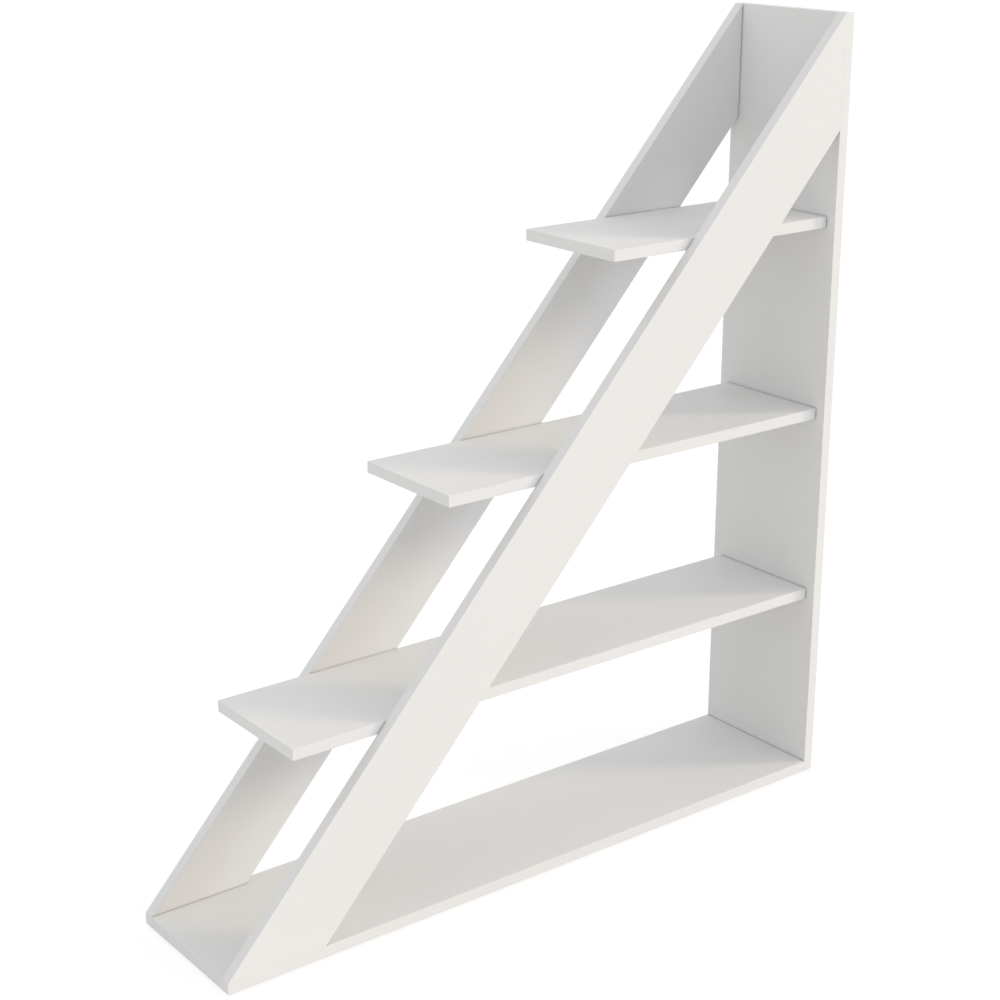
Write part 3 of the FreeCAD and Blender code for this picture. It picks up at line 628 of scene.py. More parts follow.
def long_band(low, high, side, radius, drawn, rounding):
    """Rings of the strip along a level board's front (side -1) or rear (side 1) edge."""
    sides, under, over = drawn
    section = strip_section(high.z - low.z, rounding)
    edge = high.y if side > 0 else -low.y
    rings = []
    left = [(low.x + away, inset, 0.0) for away, inset in reversed(easing(rounding))]
    right = [(high.x - away, 0.0, inset) for away, inset in easing(radius)]
    for x, free, joint in left + right:
        ring = []
        for depth, across in section:
            out = min(depth, BAND - min(max(free, joint * sides), BAND * (1 - THINNEST)))
            z = min(max(low.z + across, low.z + joint * under), high.z - joint * over)
            ring.append((Vector((x, side * (edge - BAND + out), z)), (x, across)))
        rings.append(ring)
    return rings


def end_band(low, high, rounding):
    """Rings of the strip on a level board's left end, between its front and rear strips."""
    section, inner = strip_section(high.z - low.z, rounding), low.x + BAND
    ends = (low.y + BAND, high.y - BAND)
    return strip_rings(section, ends, lambda y, depth, across: (inner - depth, y, low.z + across))


def is_broad(axis):
    """Tell a board's faced sides (material 0) from its sawn ends (material 1)."""
    return lambda normal: 0 if abs(normal[axis]) > FACED else 1


class Stringer:
    """The outline of a slanted board, from its solid: level foot, plumb head and parallel slopes."""

    def __init__(self, name):
        points = [
            vert.co for node in (name, f"{name}_edge_bands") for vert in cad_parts[node].data.vertices
        ]
        self.foot, self.head = BASE[1].z, UPRIGHT[0].x
        feet = [point.x for point in points if abs(point.z - self.foot) < NEAR]
        heads = [point.z for point in points if abs(point.x - self.head) < NEAR]
        self.toe, self.heel = min(feet), max(feet)
        self.low, self.top = min(heads), max(heads)
        self.slope = (self.top - self.foot) / (self.head - self.toe)
        self.drop = math.hypot(1, self.slope)
        self.run = self.drop / self.slope
        self.side = 1 if sum(point.y for point in points) > 0 else -1

    def level(self, z, depth, upper):
        """A point's X on a level cut, at a depth below the upper or lower edge."""
        start = self.toe + depth * self.run if upper else self.heel - depth * self.run
        return start + (z - self.foot) / self.slope

    def plumb(self, x, depth, upper):
        """A point's Z on a plumb cut, at a depth below the upper or lower edge."""
        end = self.top - depth * self.drop if upper else self.low + depth * self.drop
        return end + (x - self.head) * self.slope

    def depth(self, across, inset):
        """A point's Y, with across running from the outer face and the inner face drawn in."""
        return self.side * (BASE[1].y - min(across, BOARD - inset))

    def rings(self, section, head_radius, foot_radius):
        """Rings from foot to head through (depth, upper, across) points."""
        rings = []
        for away, inset in reversed(easing(foot_radius)):
            z = self.foot + away
            rings.append([
                (Vector((self.level(z, depth, upper), self.depth(across, inset), z)), (away, across))
                for depth, upper, across in section
            ])
        for away, inset in easing(head_radius):
            x, along = self.head - away, (self.head - self.toe) * self.drop - away
            rings.append([
                (Vector((x, self.depth(across, inset), self.plumb(x, depth, upper))), (along, across))
                for depth, upper, across in section
            ])
        return rings

    def core(self, head_radius, foot_radius):
        section = [(BAND, True, 0.0), (BAND, True, BOARD), (BAND, False, BOARD), (BAND, False, 0.0)]
        return self.rings(section, head_radius, foot_radius)

    def band(self, upper, head_radius, foot_radius, rounding):
        section = [(BAND - depth, upper, across) for depth, across in strip_section(BOARD, rounding)]
        return self.rings(section, head_radius, foot_radius)


SHELF_DRAWN = (1, 1, 1)
BASE_DRAWN = (0, 0, 1)
NOT_DRAWN = (0, 0, 0)


def level_boards():
    """Each level board: name, solids, box, and how its core and its strips draw in at the joint."""
    listed = [("base", ("base_panel", "base_edge_bands"), BASE_DRAWN, NOT_DRAWN)]
    for shelf in SHELVES:
        nodes = (f"{shelf}_shelf", f"{shelf}_shelf_edge_bands")
        listed.append((f"{shelf}_shelf", nodes, SHELF_DRAWN, SHELF_DRAWN))
    return [(name, nodes, joint_box(*nodes), core, strips) for name, nodes, core, strips in listed]


# Geometry Nodes: turned fittings set in their places, and bores drilled for them


RAIL = 1 * MM
WELD = 0.001 * MM
FULL_TURN = 2 * math.pi
THREAD = ("Thread start", "Thread end", "Pitch", "Ridge")
THREAD_FOOT = 0.35
MARK_DEPTH = 0.4 * MM
MARK_PLACE = 0.38


def profile_object(name, points):
    """A half profile of (radius, height) points from the bottom up, as a line for a tree to turn."""
    mesh = bpy.data.meshes.new(name)
    mesh.from_pydata(
        [(radius - RAIL, -height, 0) for radius, height in reversed(points)],
        [(index, index + 1) for index in range(len(points) - 1)],
        [],
    )
    return bpy.data.objects.new(name, mesh)


def rows(radius, low, high, count):
    """Points up a straight side, both ends included."""
    return [(radius, low + (high - low) * step / count) for step in range(count + 1)]


def solids_of(node):
    """The box of each separate solid in a node of the frame."""
    mesh = bmesh.new()
    mesh.from_mesh(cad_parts[node].data)
    bmesh.ops.remove_doubles(mesh, verts=mesh.verts, dist=MERGE)
    boxes, left = [], set(mesh.verts)
    while left:
        group, waiting = [], [left.pop()]
        while waiting:
            vert = waiting.pop()
            group.append(vert.co.copy())
            joined = {edge.other_vert(vert) for edge in vert.link_edges} & left
            left -= joined
            waiting += joined
        boxes.append(box_of(group))
    mesh.free()
    return sorted(boxes, key=lambda box: tuple(round(value, 6) for value in box[0]))


def places_on(node, aim, turn=None):
    """Where each solid of a node starts along its aim: (place, aim, turn) triples."""
    found = []
    for low, high in solids_of(node):
        middle = (low + high) / 2
        way = aim(middle) if callable(aim) else aim
        reach = sum(abs(way[axis]) * (high[axis] - low[axis]) for axis in (X, Y, Z))
        found.append((middle - way * reach / 2, way, turn(middle) if turn else 0.0))
    return found


def towards_shelf(middle):
    return FRONT if middle.y > 0 else BACK


def slot_outwards(middle):
    return math.pi if middle.y > 0 else 0.0


def places_mesh(places):
    """Points that carry their aim and turn."""
    mesh = bpy.data.meshes.new("places")
    mesh.from_pydata([place for place, _, _ in places], [], [])
    mesh.attributes.new("aim", "FLOAT_VECTOR", "POINT")
    mesh.attributes.new("turn", "FLOAT", "POINT")
    for index, (_, aim, turn) in enumerate(places):
        mesh.attributes["aim"].data[index].vector = aim
        mesh.attributes["turn"].data[index].value = turn
    return mesh


def fitting_tree(name, sizes=(), counts=()):
    """Start a tree whose geometry is the places, with inputs named for the fitting's sizes and counts."""
    inputs = [
        ("Geometry", "Geometry"), ("Profile", "Object"), ("Material", "Material"),
        ("Segments", "Int", 32), ("Spin", "Float", 0.0), ("Seed", "Int", 4),
    ]
    inputs += [(size, "Float", 0.0) for size in sizes] + [(count, "Int", 1) for count in counts]
    return new_tree(name, "GeometryNodeTree", inputs, [("Geometry", "Geometry")])


def turned(tree, given):
    """Turn the profile about Z into a closed shape."""
    line = add(tree, "GeometryNodeObjectInfo", {"Object": given["Profile"]}, "Geometry")
    section = add(tree, "GeometryNodeMeshToCurve", {"Mesh": line})
    rail = add(tree, "GeometryNodeCurvePrimitiveCircle", {"Resolution": given["Segments"], "Radius": RAIL})
    shape = add(tree, "GeometryNodeCurveToMesh", {"Curve": rail, "Profile Curve": section})
    return add(tree, "GeometryNodeMergeByDistance", {"Geometry": shape, "Distance": MERGE})


def push_out(tree, shape, amount):
    """Move a turned shape's points away from its axis by an amount."""
    where = add(tree, "GeometryNodeInputPosition")
    flat = add(tree, "ShaderNodeVectorMath", {0: where, 1: (1, 1, 0)}, operation="MULTIPLY")
    way = add(tree, "ShaderNodeVectorMath", {0: flat}, operation="NORMALIZE")
    offset = add(tree, "ShaderNodeVectorMath", {0: way, "Scale": amount}, operation="SCALE")
    return add(tree, "GeometryNodeSetPosition", {"Geometry": shape, "Offset": offset})


def axis_values(tree):
    """A point's angle about the axis, in turns, and its height."""
    parts = tree.nodes.new("ShaderNodeSeparateXYZ")
    tree.links.new(add(tree, "GeometryNodeInputPosition"), parts.inputs[0])
    angle = calc(tree, "ARCTAN2", parts.outputs["Y"], parts.outputs["X"])
    return calc(tree, "DIVIDE", angle, FULL_TURN), parts.outputs["Z"]


def threaded(tree, given):
    """The turned profile with a helical ridge between two heights, running out at both ends."""
    start, end, pitch, ridge = (given[size] for size in THREAD)
    turn, height = axis_values(tree)
    phase = calc(tree, "FRACT", minus(tree, calc(tree, "DIVIDE", height, pitch), turn))
    tent = minus(tree, 1.0, calc(tree, "ABSOLUTE", calc(tree, "MULTIPLY_ADD", phase, 2.0, -1.0)))
    run_in = ramp(tree, height, start, plus(tree, start, pitch))
    run_out = ramp(tree, height, minus(tree, end, pitch), end, to_low=1.0, to_high=0.0)
    share = times(tree, ramp(tree, tent, THREAD_FOOT, 1.0), times(tree, run_in, run_out))
    return push_out(tree, turned(tree, given), times(tree, share, ridge))


def cut(tree, shape, cutter):
    """Take a closed cutter away from a shape."""
    inputs = {"Mesh 1": shape, "Mesh 2": cutter}
    rest = add(tree, "GeometryNodeMeshBoolean", inputs, operation="DIFFERENCE", solver="EXACT")
    return add(tree, "GeometryNodeMergeByDistance", {"Geometry": rest, "Distance": WELD})


def moved(tree, shape, turn=0.0, **offset):
    """Turn a shape about Z and move it along the named axes."""
    where = add(tree, "ShaderNodeCombineXYZ", offset)
    inputs = {"Geometry": shape, "Rotation": (0, 0, turn), "Translation": where}
    return add(tree, "GeometryNodeTransform", inputs)


def block(tree, x, y, z):
    """A box about the origin, to cut with."""
    size = add(tree, "ShaderNodeCombineXYZ", {"X": x, "Y": y, "Z": z})
    return add(tree, "GeometryNodeMeshCube", {"Size": size})


def prism(tree, sides, radius, depth):
    """An upright prism that reaches so far above and below the origin, to cut with."""
    inputs = {"Vertices": sides, "Radius": radius, "Depth": times(tree, depth, 2.0)}
    return add(tree, "GeometryNodeMeshCylinder", inputs)


def at_places(tree, points, shape):
    """Copies of a shape, each turned towards its point's aim."""
    aim = add(tree, "GeometryNodeInputNamedAttribute", {"Name": "aim"}, data_type="FLOAT_VECTOR")
    facing = add(tree, "FunctionNodeAlignRotationToVector", {"Vector": aim}, axis="Z")
    inputs = {"Points": points, "Instance": shape, "Rotation": facing}
    return add(tree, "GeometryNodeInstanceOnPoints", inputs)


def dressed(tree, given, copies):
    """Plain geometry with its material."""
    plain = add(tree, "GeometryNodeRealizeInstances", {"Geometry": copies})
    return add(tree, "GeometryNodeSetMaterial", {"Geometry": plain, "Material": given["Material"]})


def set_in_places(tree, given, result, shape):
    """Shade a shape, set it at every place, and end in plain geometry with its material."""
    inputs = {"Geometry": shape, "Shade Smooth": True}
    smooth = add(tree, "GeometryNodeSetShadeSmooth", inputs, domain="FACE")
    bend = add(tree, "GeometryNodeInputMeshEdgeAngle", output="Unsigned Angle")
    crease = add(tree, "FunctionNodeCompare", {0: bend, 1: SMOOTH_ANGLE}, operation="GREATER_THAN")
    inputs = {"Geometry": smooth, "Selection": crease, "Shade Smooth": False}
    creased = add(tree, "GeometryNodeSetShadeSmooth", inputs, domain="EDGE")
    copies = at_places(tree, given["Geometry"], creased)
    inputs = {3: given["Spin"], "Seed": given["Seed"]}
    chance = add(tree, "FunctionNodeRandomValue", inputs, 1, data_type="FLOAT")
    turn = add(tree, "GeometryNodeInputNamedAttribute", {"Name": "turn"}, data_type="FLOAT")
    spin = add(tree, "ShaderNodeCombineXYZ", {"Z": plus(tree, turn, chance)})
    rotation = add(tree, "FunctionNodeEulerToRotation", {"Euler": spin})
    spun = add(tree, "GeometryNodeRotateInstances", {"Instances": copies, "Rotation": rotation})
    tree.links.new(dressed(tree, given, spun), result["Geometry"])
    return tree


def grow(tree, mesh, values):
    """Run a tree on a mesh, with objects among its values that serve only this, and give a plain mesh."""
    holder = bpy.data.objects.new("holder", mesh)
    helpers = [holder] + [value for value in values.values() if isinstance(value, bpy.types.Object)]
    for helper in helpers:
        bpy.context.scene.collection.objects.link(helper)
    modifier = holder.modifiers.new("shape", "NODES")
    modifier.node_group = tree
    for item in tree.interface.items_tree:
        if item.in_out == "INPUT" and item.name in values:
            modifier[item.identifier] = values[item.name]
    evaluated = holder.evaluated_get(bpy.context.evaluated_depsgraph_get())
    made = bpy.data.meshes.new_from_object(evaluated)
    holder.modifiers.remove(modifier)
    for helper in helpers:
        bpy.data.objects.remove(helper)
    for index in reversed(range(len(made.materials))):
        if made.materials[index] is None:
            made.materials.pop(index=index)
    check = bmesh.new()
    check.from_mesh(made)
    closed = len(check.faces) and all(edge.is_manifold for edge in check.edges)
    if not closed or check.calc_volume(signed=True) <= 0:
        raise RuntimeError(f"{tree.name} made an open or inside-out shape")
    check.free()
    return made


def make_fitting(name, tree, node, aim, profile, finish, turn=None, segments=24, spin=FULL_TURN, **sizes):
    """Set a turned fitting at every solid of a node of the frame; its finish is a material and a slot name,
    and the slot name is not used.
    """
    material, paint = finish
    values = {
        "Profile": profile_object(f"{name}_profile", profile), "Material": finishes()[material],
        "Segments": segments, "Spin": spin,
    }
    values.update({key.replace("_", " ").capitalize(): value for key, value in sizes.items()})
    finish_piece(name, grow(tree, places_mesh(places_on(node, aim, turn)), values), paint, node)


def plain_tree(name):
    tree, given, result = fitting_tree(name)
    return set_in_places(tree, given, result, turned(tree, given))


def screw_tree():
    """Connecting screw: turned, threaded, with a hexagon socket in its head."""
    tree, given, result = fitting_tree("Connecting screws", (*THREAD, "Socket", "Socket depth"))
    corner = calc(tree, "DIVIDE", given["Socket"], math.sqrt(3))
    hexagon = prism(tree, 6, corner, given["Socket depth"])
    return set_in_places(tree, given, result, cut(tree, threaded(tree, given), hexagon))


def bolt_tree():
    tree, given, result = fitting_tree("Cam bolts", THREAD)
    return set_in_places(tree, given, result, threaded(tree, given))


def cam_tree():
    """Cam: a turned cup with a cross recess, an arrow mark, and a slot for the bolt's neck."""
    sizes = ("Cross", "Cross width", "Cross depth", "Slot", "Slot floor", "Height", "Diameter", "Mark")
    tree, given, result = fitting_tree("Cams", sizes)
    deep = times(tree, given["Cross depth"], 2.0)
    tall = times(tree, minus(tree, given["Height"], given["Slot floor"]), 2.0)
    slot = block(tree, given["Slot"], given["Diameter"], tall)
    mark = prism(tree, 3, given["Mark"], MARK_DEPTH)
    shape = turned(tree, given)
    for cutter in (
        block(tree, given["Cross"], given["Cross width"], deep),
        block(tree, given["Cross width"], given["Cross"], deep),
        moved(tree, slot, Y=times(tree, given["Diameter"], -0.5), Z=given["Height"]),
        moved(tree, mark, -math.pi / 2, Y=times(tree, given["Diameter"], -MARK_PLACE)),
    ):
        shape = cut(tree, shape, cutter)
    return set_in_places(tree, given, result, shape)


def dowel_tree():
    """Fluted dowel: turned, with flutes pressed in along its straight length."""
    tree, given, result = fitting_tree("Fluted dowels", ("Flute depth", "Low", "High"), ("Flutes",))
    turn, height = axis_values(tree)
    wave = calc(tree, "COSINE", times(tree, turn, times(tree, given["Flutes"], FULL_TURN)))
    groove = ramp(tree, wave, 0.0, 1.0, smooth=True)
    above = calc(tree, "GREATER_THAN", height, given["Low"])
    below = calc(tree, "LESS_THAN", height, given["High"])
    share = times(tree, groove, times(tree, above, below))
    inwards = times(tree, times(tree, share, given["Flute depth"]), -1.0)
    return set_in_places(tree, given, result, push_out(tree, turned(tree, given), inwards))


def drill_tree():
    """Bores: the profile, turned into a cutter that shows the core, is sunk into a board at every place."""
    tree, given, result = new_tree(
        "Drilled bores", "GeometryNodeTree",
        [("Geometry", "Geometry"), ("Places", "Object"), ("Profile", "Object"), ("Material", "Material"),
         ("Segments", "Int", 48)],
        [("Geometry", "Geometry")],
    )
    points = add(tree, "GeometryNodeObjectInfo", {"Object": given["Places"]}, "Geometry")
    cutters = dressed(tree, given, at_places(tree, points, turned(tree, given)))
    tree.links.new(cut(tree, given["Geometry"], cutters), result["Geometry"])
    return tree


def drilled(mesh, places, profile):
    """A board's mesh with bores cut into it; the bores show the core."""
    values = {
        "Places": bpy.data.objects.new("bores", places_mesh(places)),
        "Profile": profile_object("bore_profile", profile), "Material": finishes()["chipboard_core"],
    }
    made = grow(bpy.data.node_groups.get("Drilled bores") or drill_tree(), mesh, values)
    made.set_sharp_from_angle(angle=SMOOTH_ANGLE)
    return made


# Operators


PROUD = 1 * MM
EDGE = 0.3 * MM
PLATED = ("zinc_plated_steel", "zinc_plated_steel")


def barrel(radius, low, high, edge):
    """Points up a cylinder with broken edges."""
    return [(radius - edge, low), (radius, low + edge), (radius, high - edge), (radius - edge, high)]


def ring_groove(radius, half_width):
    """Points across a groove round the axis, in a flat end at height 0."""
    return [(radius - half_width, 0), (radius, half_width), (radius + half_width, 0)]


class BOOKSHELF_OT_boards(bpy.types.Operator):
    """Make the base, the upright, the stringers and the shelves"""

    bl_idname = "bookshelf.boards"
    bl_label = "Boards"

    def execute(self, context):
        settings, cams = context.scene.bookshelf_boards, context.scene.bookshelf_cams
        screws, gap = context.scene.bookshelf_screws, settings.bore_clearance
        surfaces = [finishes()["white_board_faces"], finishes()["chipboard_core"]]
        shank, head, past = screws.shank / 2 + gap, screws.head / 2 + gap, BOARD + PROUD
        through = [(0, -PROUD), (head + PROUD, -PROUD), (shank, head - shank), (shank, past), (0, past)]
        bore, deep = cams.diameter / 2 + gap, cams.height + gap
        blind = [(0, -PROUD), (bore, -PROUD), (bore, deep), (0, deep)]
        for name, nodes, (low, high), drawn, _ in level_boards():
            mesh = loft([flat_core(low, high, settings.joint_easing, drawn)], surfaces, is_broad(Z))
            if name == "base":
                mesh = drilled(mesh, places_on("stringer_foot_screws", UP), through)
            else:
                places = [spot for spot in places_on("shelf_cams", UP) if abs(spot[0].z - low.z) < PROUD]
                mesh = drilled(mesh, places, blind)
            finish_piece(f"{name}_board", mesh, "white_board", nodes[0])
        low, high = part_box("upright_panel")
        corners = ((low.x, low.y), (high.x, low.y), (high.x, high.y), (low.x, high.y))
        rings = [[(Vector((x, y, z)), (z, y)) for x, y in corners] for z in (low.z, high.z)]
        heads = ("shelf_end_screws", "stringer_head_screws", "base_end_screws")
        places = [place for node in heads for place in places_on(node, LEFT)]
        mesh = drilled(loft([rings], surfaces, is_broad(X)), places, through)
        finish_piece("upright_board", mesh, "white_board", "upright_panel")
        for name in STRINGERS:
            rings = Stringer(name).core(settings.joint_easing, settings.foot_easing)
            finish_piece(f"{name}_board", loft([rings], surfaces, is_broad(Y)), "white_board", name)
        return {"FINISHED"}


class BOOKSHELF_OT_banding(bpy.types.Operator):
    """Make the plastic strips on the boards' edges"""

    bl_idname = "bookshelf.banding"
    bl_label = "Edge banding"

    def execute(self, context):
        boards, rounding = context.scene.bookshelf_boards, context.scene.bookshelf_banding.rounding
        surface = [finishes()["satin_banding"]]
        for name, nodes, (low, high), _, drawn in level_boards():
            strips = [long_band(low, high, side, boards.joint_easing, drawn, rounding) for side in (-1, 1)]
            mesh = loft(strips + [end_band(low, high, rounding)], surface)
            finish_piece(f"{name}_banding", mesh, "edge_band", nodes[1])
        low, high = UPRIGHT
        section, ends = strip_section(BOARD, rounding), (low.z, high.z)
        edge, top = high.y - BAND, high.z - BAND
        strips = [
            strip_rings(section, ends, lambda z, depth, across: (low.x + across, -edge - depth, z)),
            strip_rings(section, ends, lambda z, depth, across: (low.x + across, edge + depth, z)),
            strip_rings(section, (-edge, edge), lambda y, depth, across: (low.x + across, y, top + depth)),
        ]
        finish_piece("upright_banding", loft(strips, surface), "edge_band", "upright_edge_bands")
        for name in STRINGERS:
            easings, stringer = (boards.joint_easing, boards.foot_easing), Stringer(name)
            strips = [stringer.band(upper, *easings, rounding) for upper in (True, False)]
            finish_piece(f"{name}_banding", loft(strips, surface), "edge_band", f"{name}_edge_bands")
        return {"FINISHED"}


class BOOKSHELF_OT_screws(bpy.types.Operator):
    """Make the connecting screws in the upright and the base"""

    bl_idname = "bookshelf.screws"
    bl_label = "Connecting screws"

    def execute(self, context):
        s = context.scene.bookshelf_screws
        head, shank, core, tip = s.head / 2, s.shank / 2, s.core / 2, 1 * MM
        shoulder, relief, taper, points = 0.5 * MM, 0.4 * MM, 4 * MM, 80
        start, point = BOARD, s.length - taper
        profile = [(0, 0), (head - EDGE, 0), (head, EDGE), (shank, head - shank + EDGE)]
        profile += [(shank, start - shoulder), (core, start)]
        profile += rows(core, start + relief, point, points) + [(tip, s.length), (0, s.length)]
        tree = screw_tree()
        for name, node, aim in (
            ("screws_in_shelf_ends", "shelf_end_screws", LEFT),
            ("screws_in_stringer_heads", "stringer_head_screws", LEFT),
            ("screws_in_base_end", "base_end_screws", LEFT),
            ("screws_in_stringer_feet", "stringer_foot_screws", UP),
        ):
            make_fitting(
                name, tree, node, aim, profile, PLATED, thread_start=start, thread_end=point,
                pitch=s.pitch, ridge=s.ridge, socket=s.socket, socket_depth=s.socket_depth,
            )
        return {"FINISHED"}


class BOOKSHELF_OT_caps(bpy.types.Operator):
    """Make the cover caps on the upright"""

    bl_idname = "bookshelf.caps"
    bl_label = "Cover caps"

    def execute(self, context):
        s = context.scene.bookshelf_caps
        radius, peg, crown, chamfer, steps = s.diameter / 2, s.peg / 2, s.rise - s.rim, 0.4 * MM, 10
        end = s.rise + s.peg_length
        profile = [(radius * math.sin(turn), crown * (1 - math.cos(turn))) for turn in quarter_turn(steps)]
        profile += [(radius, s.rise), (peg, s.rise), (peg, end - chamfer), (peg - chamfer, end), (0, end)]
        make_fitting(
            "cover_caps", plain_tree("Cover caps"), "screw_cover_caps", LEFT, profile,
            ("cap_plastic", "white_cap"), segments=48,
        )
        return {"FINISHED"}


class BOOKSHELF_OT_cams(bpy.types.Operator):
    """Make the cams in the shelves' undersides"""

    bl_idname = "bookshelf.cams"
    bl_label = "Cams"

    def execute(self, context):
        s = context.scene.bookshelf_cams
        radius, ring, groove, mark = s.diameter / 2, 5.4 * MM, 0.25 * MM, 1.1 * MM
        cup, slot_floor = radius - s.wall, BOARD / 2 - s.slot / 2
        profile = [(0, 0)] + ring_groove(ring, groove) + barrel(radius, 0, s.height, EDGE)
        profile += [(cup, s.height), (cup, s.floor), (0, s.floor)]
        make_fitting(
            "shelf_cam_fittings", cam_tree(), "shelf_cams", UP, profile, ("cast_zinc", "cast_zinc"),
            turn=slot_outwards, segments=40, spin=0.0, cross=s.cross, cross_width=s.cross_width,
            cross_depth=s.cross_depth, slot=s.slot, slot_floor=slot_floor, height=s.height,
            diameter=s.diameter, mark=mark,
        )
        return {"FINISHED"}


class BOOKSHELF_OT_cam_bolts(bpy.types.Operator):
    """Make the bolts that the cams catch"""

    bl_idname = "bookshelf.cam_bolts"
    bl_label = "Cam bolts"

    def execute(self, context):
        s = context.scene.bookshelf_bolts
        neck, pitch, ridge, points = s.neck / 2, 1.8 * MM, 0.7 * MM, 56
        core = s.thread / 2 - ridge
        profile = [(0, 0), (core - EDGE, 0)] + rows(core, EDGE, s.thread_length - EDGE, points)
        profile += barrel(s.stem / 2, s.thread_length, s.stem_end, EDGE)
        profile += [(neck, s.stem_end), (neck, s.neck_end)]
        profile += barrel(s.head / 2, s.neck_end, s.length, EDGE) + [(0, s.length)]
        make_fitting(
            "cam_bolt_fittings", bolt_tree(), "cam_bolts", towards_shelf, profile, PLATED,
            thread_start=0.0, thread_end=s.thread_length, pitch=pitch, ridge=ridge,
        )
        return {"FINISHED"}


class BOOKSHELF_OT_dowels(bpy.types.Operator):
    """Make the fluted dowels beside the cam bolts"""

    bl_idname = "bookshelf.dowels"
    bl_label = "Dowels"

    def execute(self, context):
        s = context.scene.bookshelf_dowels
        run_out, points_per_flute = s.chamfer / 2, 4
        profile = [(0, 0)] + barrel(s.diameter / 2, 0, s.length, s.chamfer) + [(0, s.length)]
        make_fitting(
            "beech_dowels", dowel_tree(), "shelf_dowels", towards_shelf, profile, ("beech_grain", "beech"),
            segments=s.flutes * points_per_flute, flutes=s.flutes, flute_depth=s.flute_depth,
            low=run_out, high=s.length - run_out,
        )
        return {"FINISHED"}


class BOOKSHELF_OT_glides(bpy.types.Operator):
    """Make the floor glides under the base"""

    bl_idname = "bookshelf.glides"
    bl_label = "Floor glides"

    def execute(self, context):
        s = context.scene.bookshelf_glides
        radius, recess, bore, steps = s.diameter / 2, s.recess / 2, s.bore / 2, 6
        profile = [(bore, s.height), (bore, s.seat), (recess, s.seat), (recess, EDGE), (recess + EDGE, 0)]
        profile += ring_groove((radius + recess) / 2, EDGE)
        profile += [(radius - short, off) for short, off in quarter_round(s.rounding, steps)]
        profile += [(radius, s.height - EDGE), (radius - EDGE, s.height), (bore, s.height)]
        make_fitting(
            "floor_glide_discs", plain_tree("Floor glides"), "floor_glides", UP, profile,
            ("glide_plastic", "glide_plastic"), segments=48,
        )
        return {"FINISHED"}


class BOOKSHELF_OT_nails(bpy.types.Operator):
    """Make the nails that hold the glides"""

    bl_idname = "bookshelf.nails"
    bl_label = "Glide nails"

    def execute(self, context):
        s = context.scene.bookshelf_glides
        head, shank, rise = s.nail_head / 2, s.nail / 2, s.nail_head_height
        crown_share, edge, steps = 0.55, 0.15 * MM, 8
        plain, pitch, half_width, grooves = 1.5 * MM, 1 * MM, 0.25 * MM, 4
        crown = rise * crown_share
        end = rise + s.nail_length
        profile = [(head * math.sin(turn), crown * (1 - math.cos(turn))) for turn in quarter_turn(steps)]
        profile += [(head, rise - edge), (head - edge, rise), (shank, rise)]
        for groove in range(grooves):
            low = rise + plain + groove * pitch
            profile += [(shank, low), (shank - edge, low + half_width), (shank, low + 2 * half_width)]
        profile += [(shank, end - s.nail_point), (0, end)]
        tree = plain_tree("Glide nails")
        make_fitting("glide_nail_fittings", tree, "glide_nails", UP, profile, PLATED)
        return {"FINISHED"}


# Stage: lamps are aimed by azimuth, elevation and spread, and the camera is turned, in degrees


STAGE_REACH = 30.0
FLOOR_SHOWN = 0.3
FLOOR_GLOW = 0.8
KEY_AIM = (58.0, 22.0, 12.0)
FILL_AIM = (30.0, 12.0, 20.0)
SIDE_AIM = (270.0, 60.0, 25.0)
LAMP_DISTANCE = 5.0
CAMERA_ANGLES = (71.362, -0.08, -37.619)
SENSOR_WIDTH = 36.0
CAMERA_REACH = 100.0


def seen_directly(tree):
    """1 for rays that show the background: from the camera, mirrored or through glass."""
    path = tree.nodes.new("ShaderNodeLightPath").outputs
    mirrored = calc(tree, "MAXIMUM", path["Is Glossy Ray"], path["Is Transmission Ray"])
    return calc(tree, "MAXIMUM", path["Is Camera Ray"], mirrored)


def blend(tree, share, first, second):
    """Mix two shaders."""
    return add(tree, "ShaderNodeMixShader", {0: share, 1: first, 2: second})


def floor_finish(shade):
    """White where it is seen in full light, with the shadow kept; unseen from below."""
    material = bpy.data.materials.new("studio_floor")
    material.use_nodes = True
    tree = material.node_tree
    tree.nodes.clear()
    clouds = ramp(tree, noise(tree, on_piece(tree), scale=1.5), 0.3, 0.7)
    tone = mix(tree, clouds, rgba(shade), rgba(shade, 0.99))
    matt = add(tree, "ShaderNodeBsdfDiffuse", {"Color": tone})
    glow = add(tree, "ShaderNodeEmission", {"Color": WHITE, "Strength": 1.0})
    black = add(tree, "ShaderNodeBsdfTransparent", {"Color": BLACK})
    shown, glowing = blend(tree, FLOOR_SHOWN, black, matt), blend(tree, FLOOR_GLOW, black, glow)
    bright = add(tree, "ShaderNodeAddShader", {0: shown, 1: glowing})
    lit = blend(tree, seen_directly(tree), matt, bright)
    clear = add(tree, "ShaderNodeBsdfTransparent", {"Color": WHITE})
    sided = blend(tree, add(tree, "ShaderNodeNewGeometry", output="Backfacing"), lit, clear)
    add(tree, "ShaderNodeOutputMaterial", {"Surface": sided})
    return material


def light_world(scene, dome):
    """An even dome of light, seen as plain white."""
    scene.world = bpy.data.worlds.new("studio")
    scene.world.use_nodes = True
    tree = scene.world.node_tree
    tree.nodes.clear()
    shade = mix(tree, seen_directly(tree), rgba(dome), WHITE)
    sky = add(tree, "ShaderNodeBackground", {"Color": shade, "Strength": 1.0})
    add(tree, "ShaderNodeOutputWorld", {"Surface": sky})


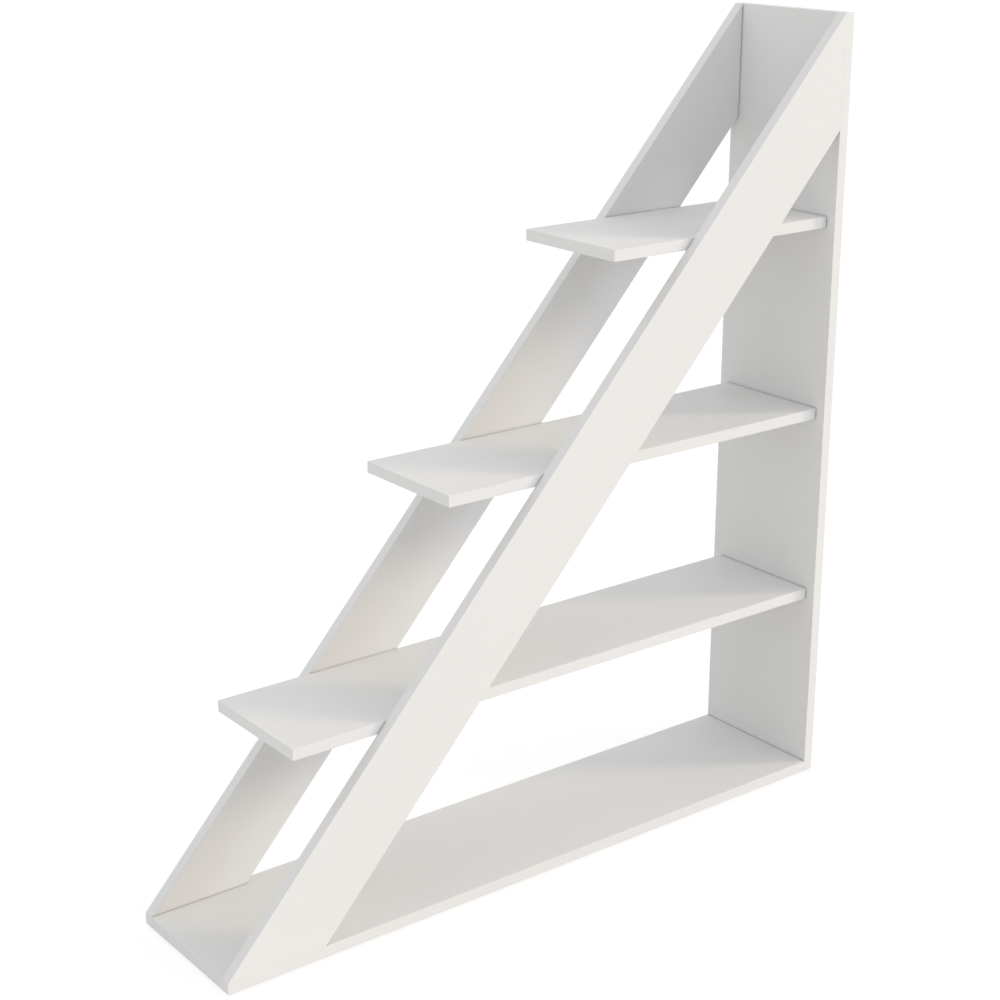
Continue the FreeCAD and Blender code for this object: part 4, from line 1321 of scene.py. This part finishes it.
def add_sun(scene, name, aim, shade, energy):
    """A distant soft lamp."""
    azimuth, elevation, spread = (math.radians(angle) for angle in aim)
    lamp = bpy.data.lights.new(name, "SUN")
    lamp.angle, lamp.color, lamp.energy = spread, shade, energy
    sun = bpy.data.objects.new(name, lamp)
    scene.collection.objects.link(sun)
    level = math.cos(elevation)
    source = Vector((math.sin(azimuth) * level, -math.cos(azimuth) * level, math.sin(elevation)))
    sun.rotation_euler = source.to_track_quat("Z", "Y").to_euler()
    sun.location = source * LAMP_DISTANCE


class BOOKSHELF_OT_stage(bpy.types.Operator):
    """Set up the floor, the light and the camera"""

    bl_idname = "bookshelf.stage"
    bl_label = "Stage"

    def execute(self, context):
        scene, settings, reach = context.scene, context.scene.bookshelf_stage, STAGE_REACH
        mesh = bpy.data.meshes.new("floor")
        corners = [(-reach, -reach, 0), (reach, -reach, 0), (reach, reach, 0), (-reach, reach, 0)]
        mesh.from_pydata(corners, [], [(0, 1, 2, 3)])
        mesh.materials.append(floor_finish(settings.floor))
        floor = bpy.data.objects.new("studio_floor", mesh)
        scene.collection.objects.link(floor)
        light_world(scene, settings.dome)
        add_sun(scene, "warm_key", KEY_AIM, settings.key, settings.key_strength)
        add_sun(scene, "cool_fill", FILL_AIM, settings.fill, settings.fill_strength)
        add_sun(scene, "soft_side", SIDE_AIM, settings.side, settings.side_strength)
        camera = bpy.data.objects.new("camera", bpy.data.cameras.new("camera"))
        scene.collection.objects.link(camera)
        camera.location = settings.camera
        camera.rotation_euler = [math.radians(angle) for angle in CAMERA_ANGLES]
        camera.data.lens = settings.lens
        camera.data.sensor_width = SENSOR_WIDTH
        camera.data.clip_end = CAMERA_REACH
        scene.camera = camera
        scene.view_settings.view_transform = "Standard"
        return {"FINISHED"}


OPERATORS = (
    BOOKSHELF_OT_boards, BOOKSHELF_OT_banding, BOOKSHELF_OT_screws, BOOKSHELF_OT_caps,
    BOOKSHELF_OT_cams, BOOKSHELF_OT_cam_bolts, BOOKSHELF_OT_dowels, BOOKSHELF_OT_glides,
    BOOKSHELF_OT_nails, BOOKSHELF_OT_stage,
)


class BOOKSHELF_PT_panel(bpy.types.Panel):
    """Sizes, colours and pieces of the bookshelf"""

    bl_idname = "BOOKSHELF_PT_panel"
    bl_label = "Staircase Bookshelf"
    bl_space_type = "VIEW_3D"
    bl_region_type = "UI"
    bl_category = "Bookshelf"

    def draw(self, context):
        for operator in OPERATORS:
            self.layout.operator(operator.bl_idname)
        for name, group in SETTINGS.items():
            box = self.layout.box()
            settings = getattr(context.scene, name)
            for key in group.__annotations__:
                box.prop(settings, key)


def register():
    for item in (*SETTINGS.values(), *OPERATORS, BOOKSHELF_PT_panel):
        bpy.utils.register_class(item)
    for name, group in SETTINGS.items():
        setattr(bpy.types.Scene, name, PointerProperty(type=group))


def unregister():
    for name in SETTINGS:
        delattr(bpy.types.Scene, name)
    for item in (BOOKSHELF_PT_panel, *reversed(OPERATORS), *reversed(SETTINGS.values())):
        bpy.utils.unregister_class(item)


def main():
    register()
    for operator in OPERATORS:
        group, name = operator.bl_idname.split(".")
        getattr(getattr(bpy.ops, group), name)()


if __name__ == "__main__":
    main()
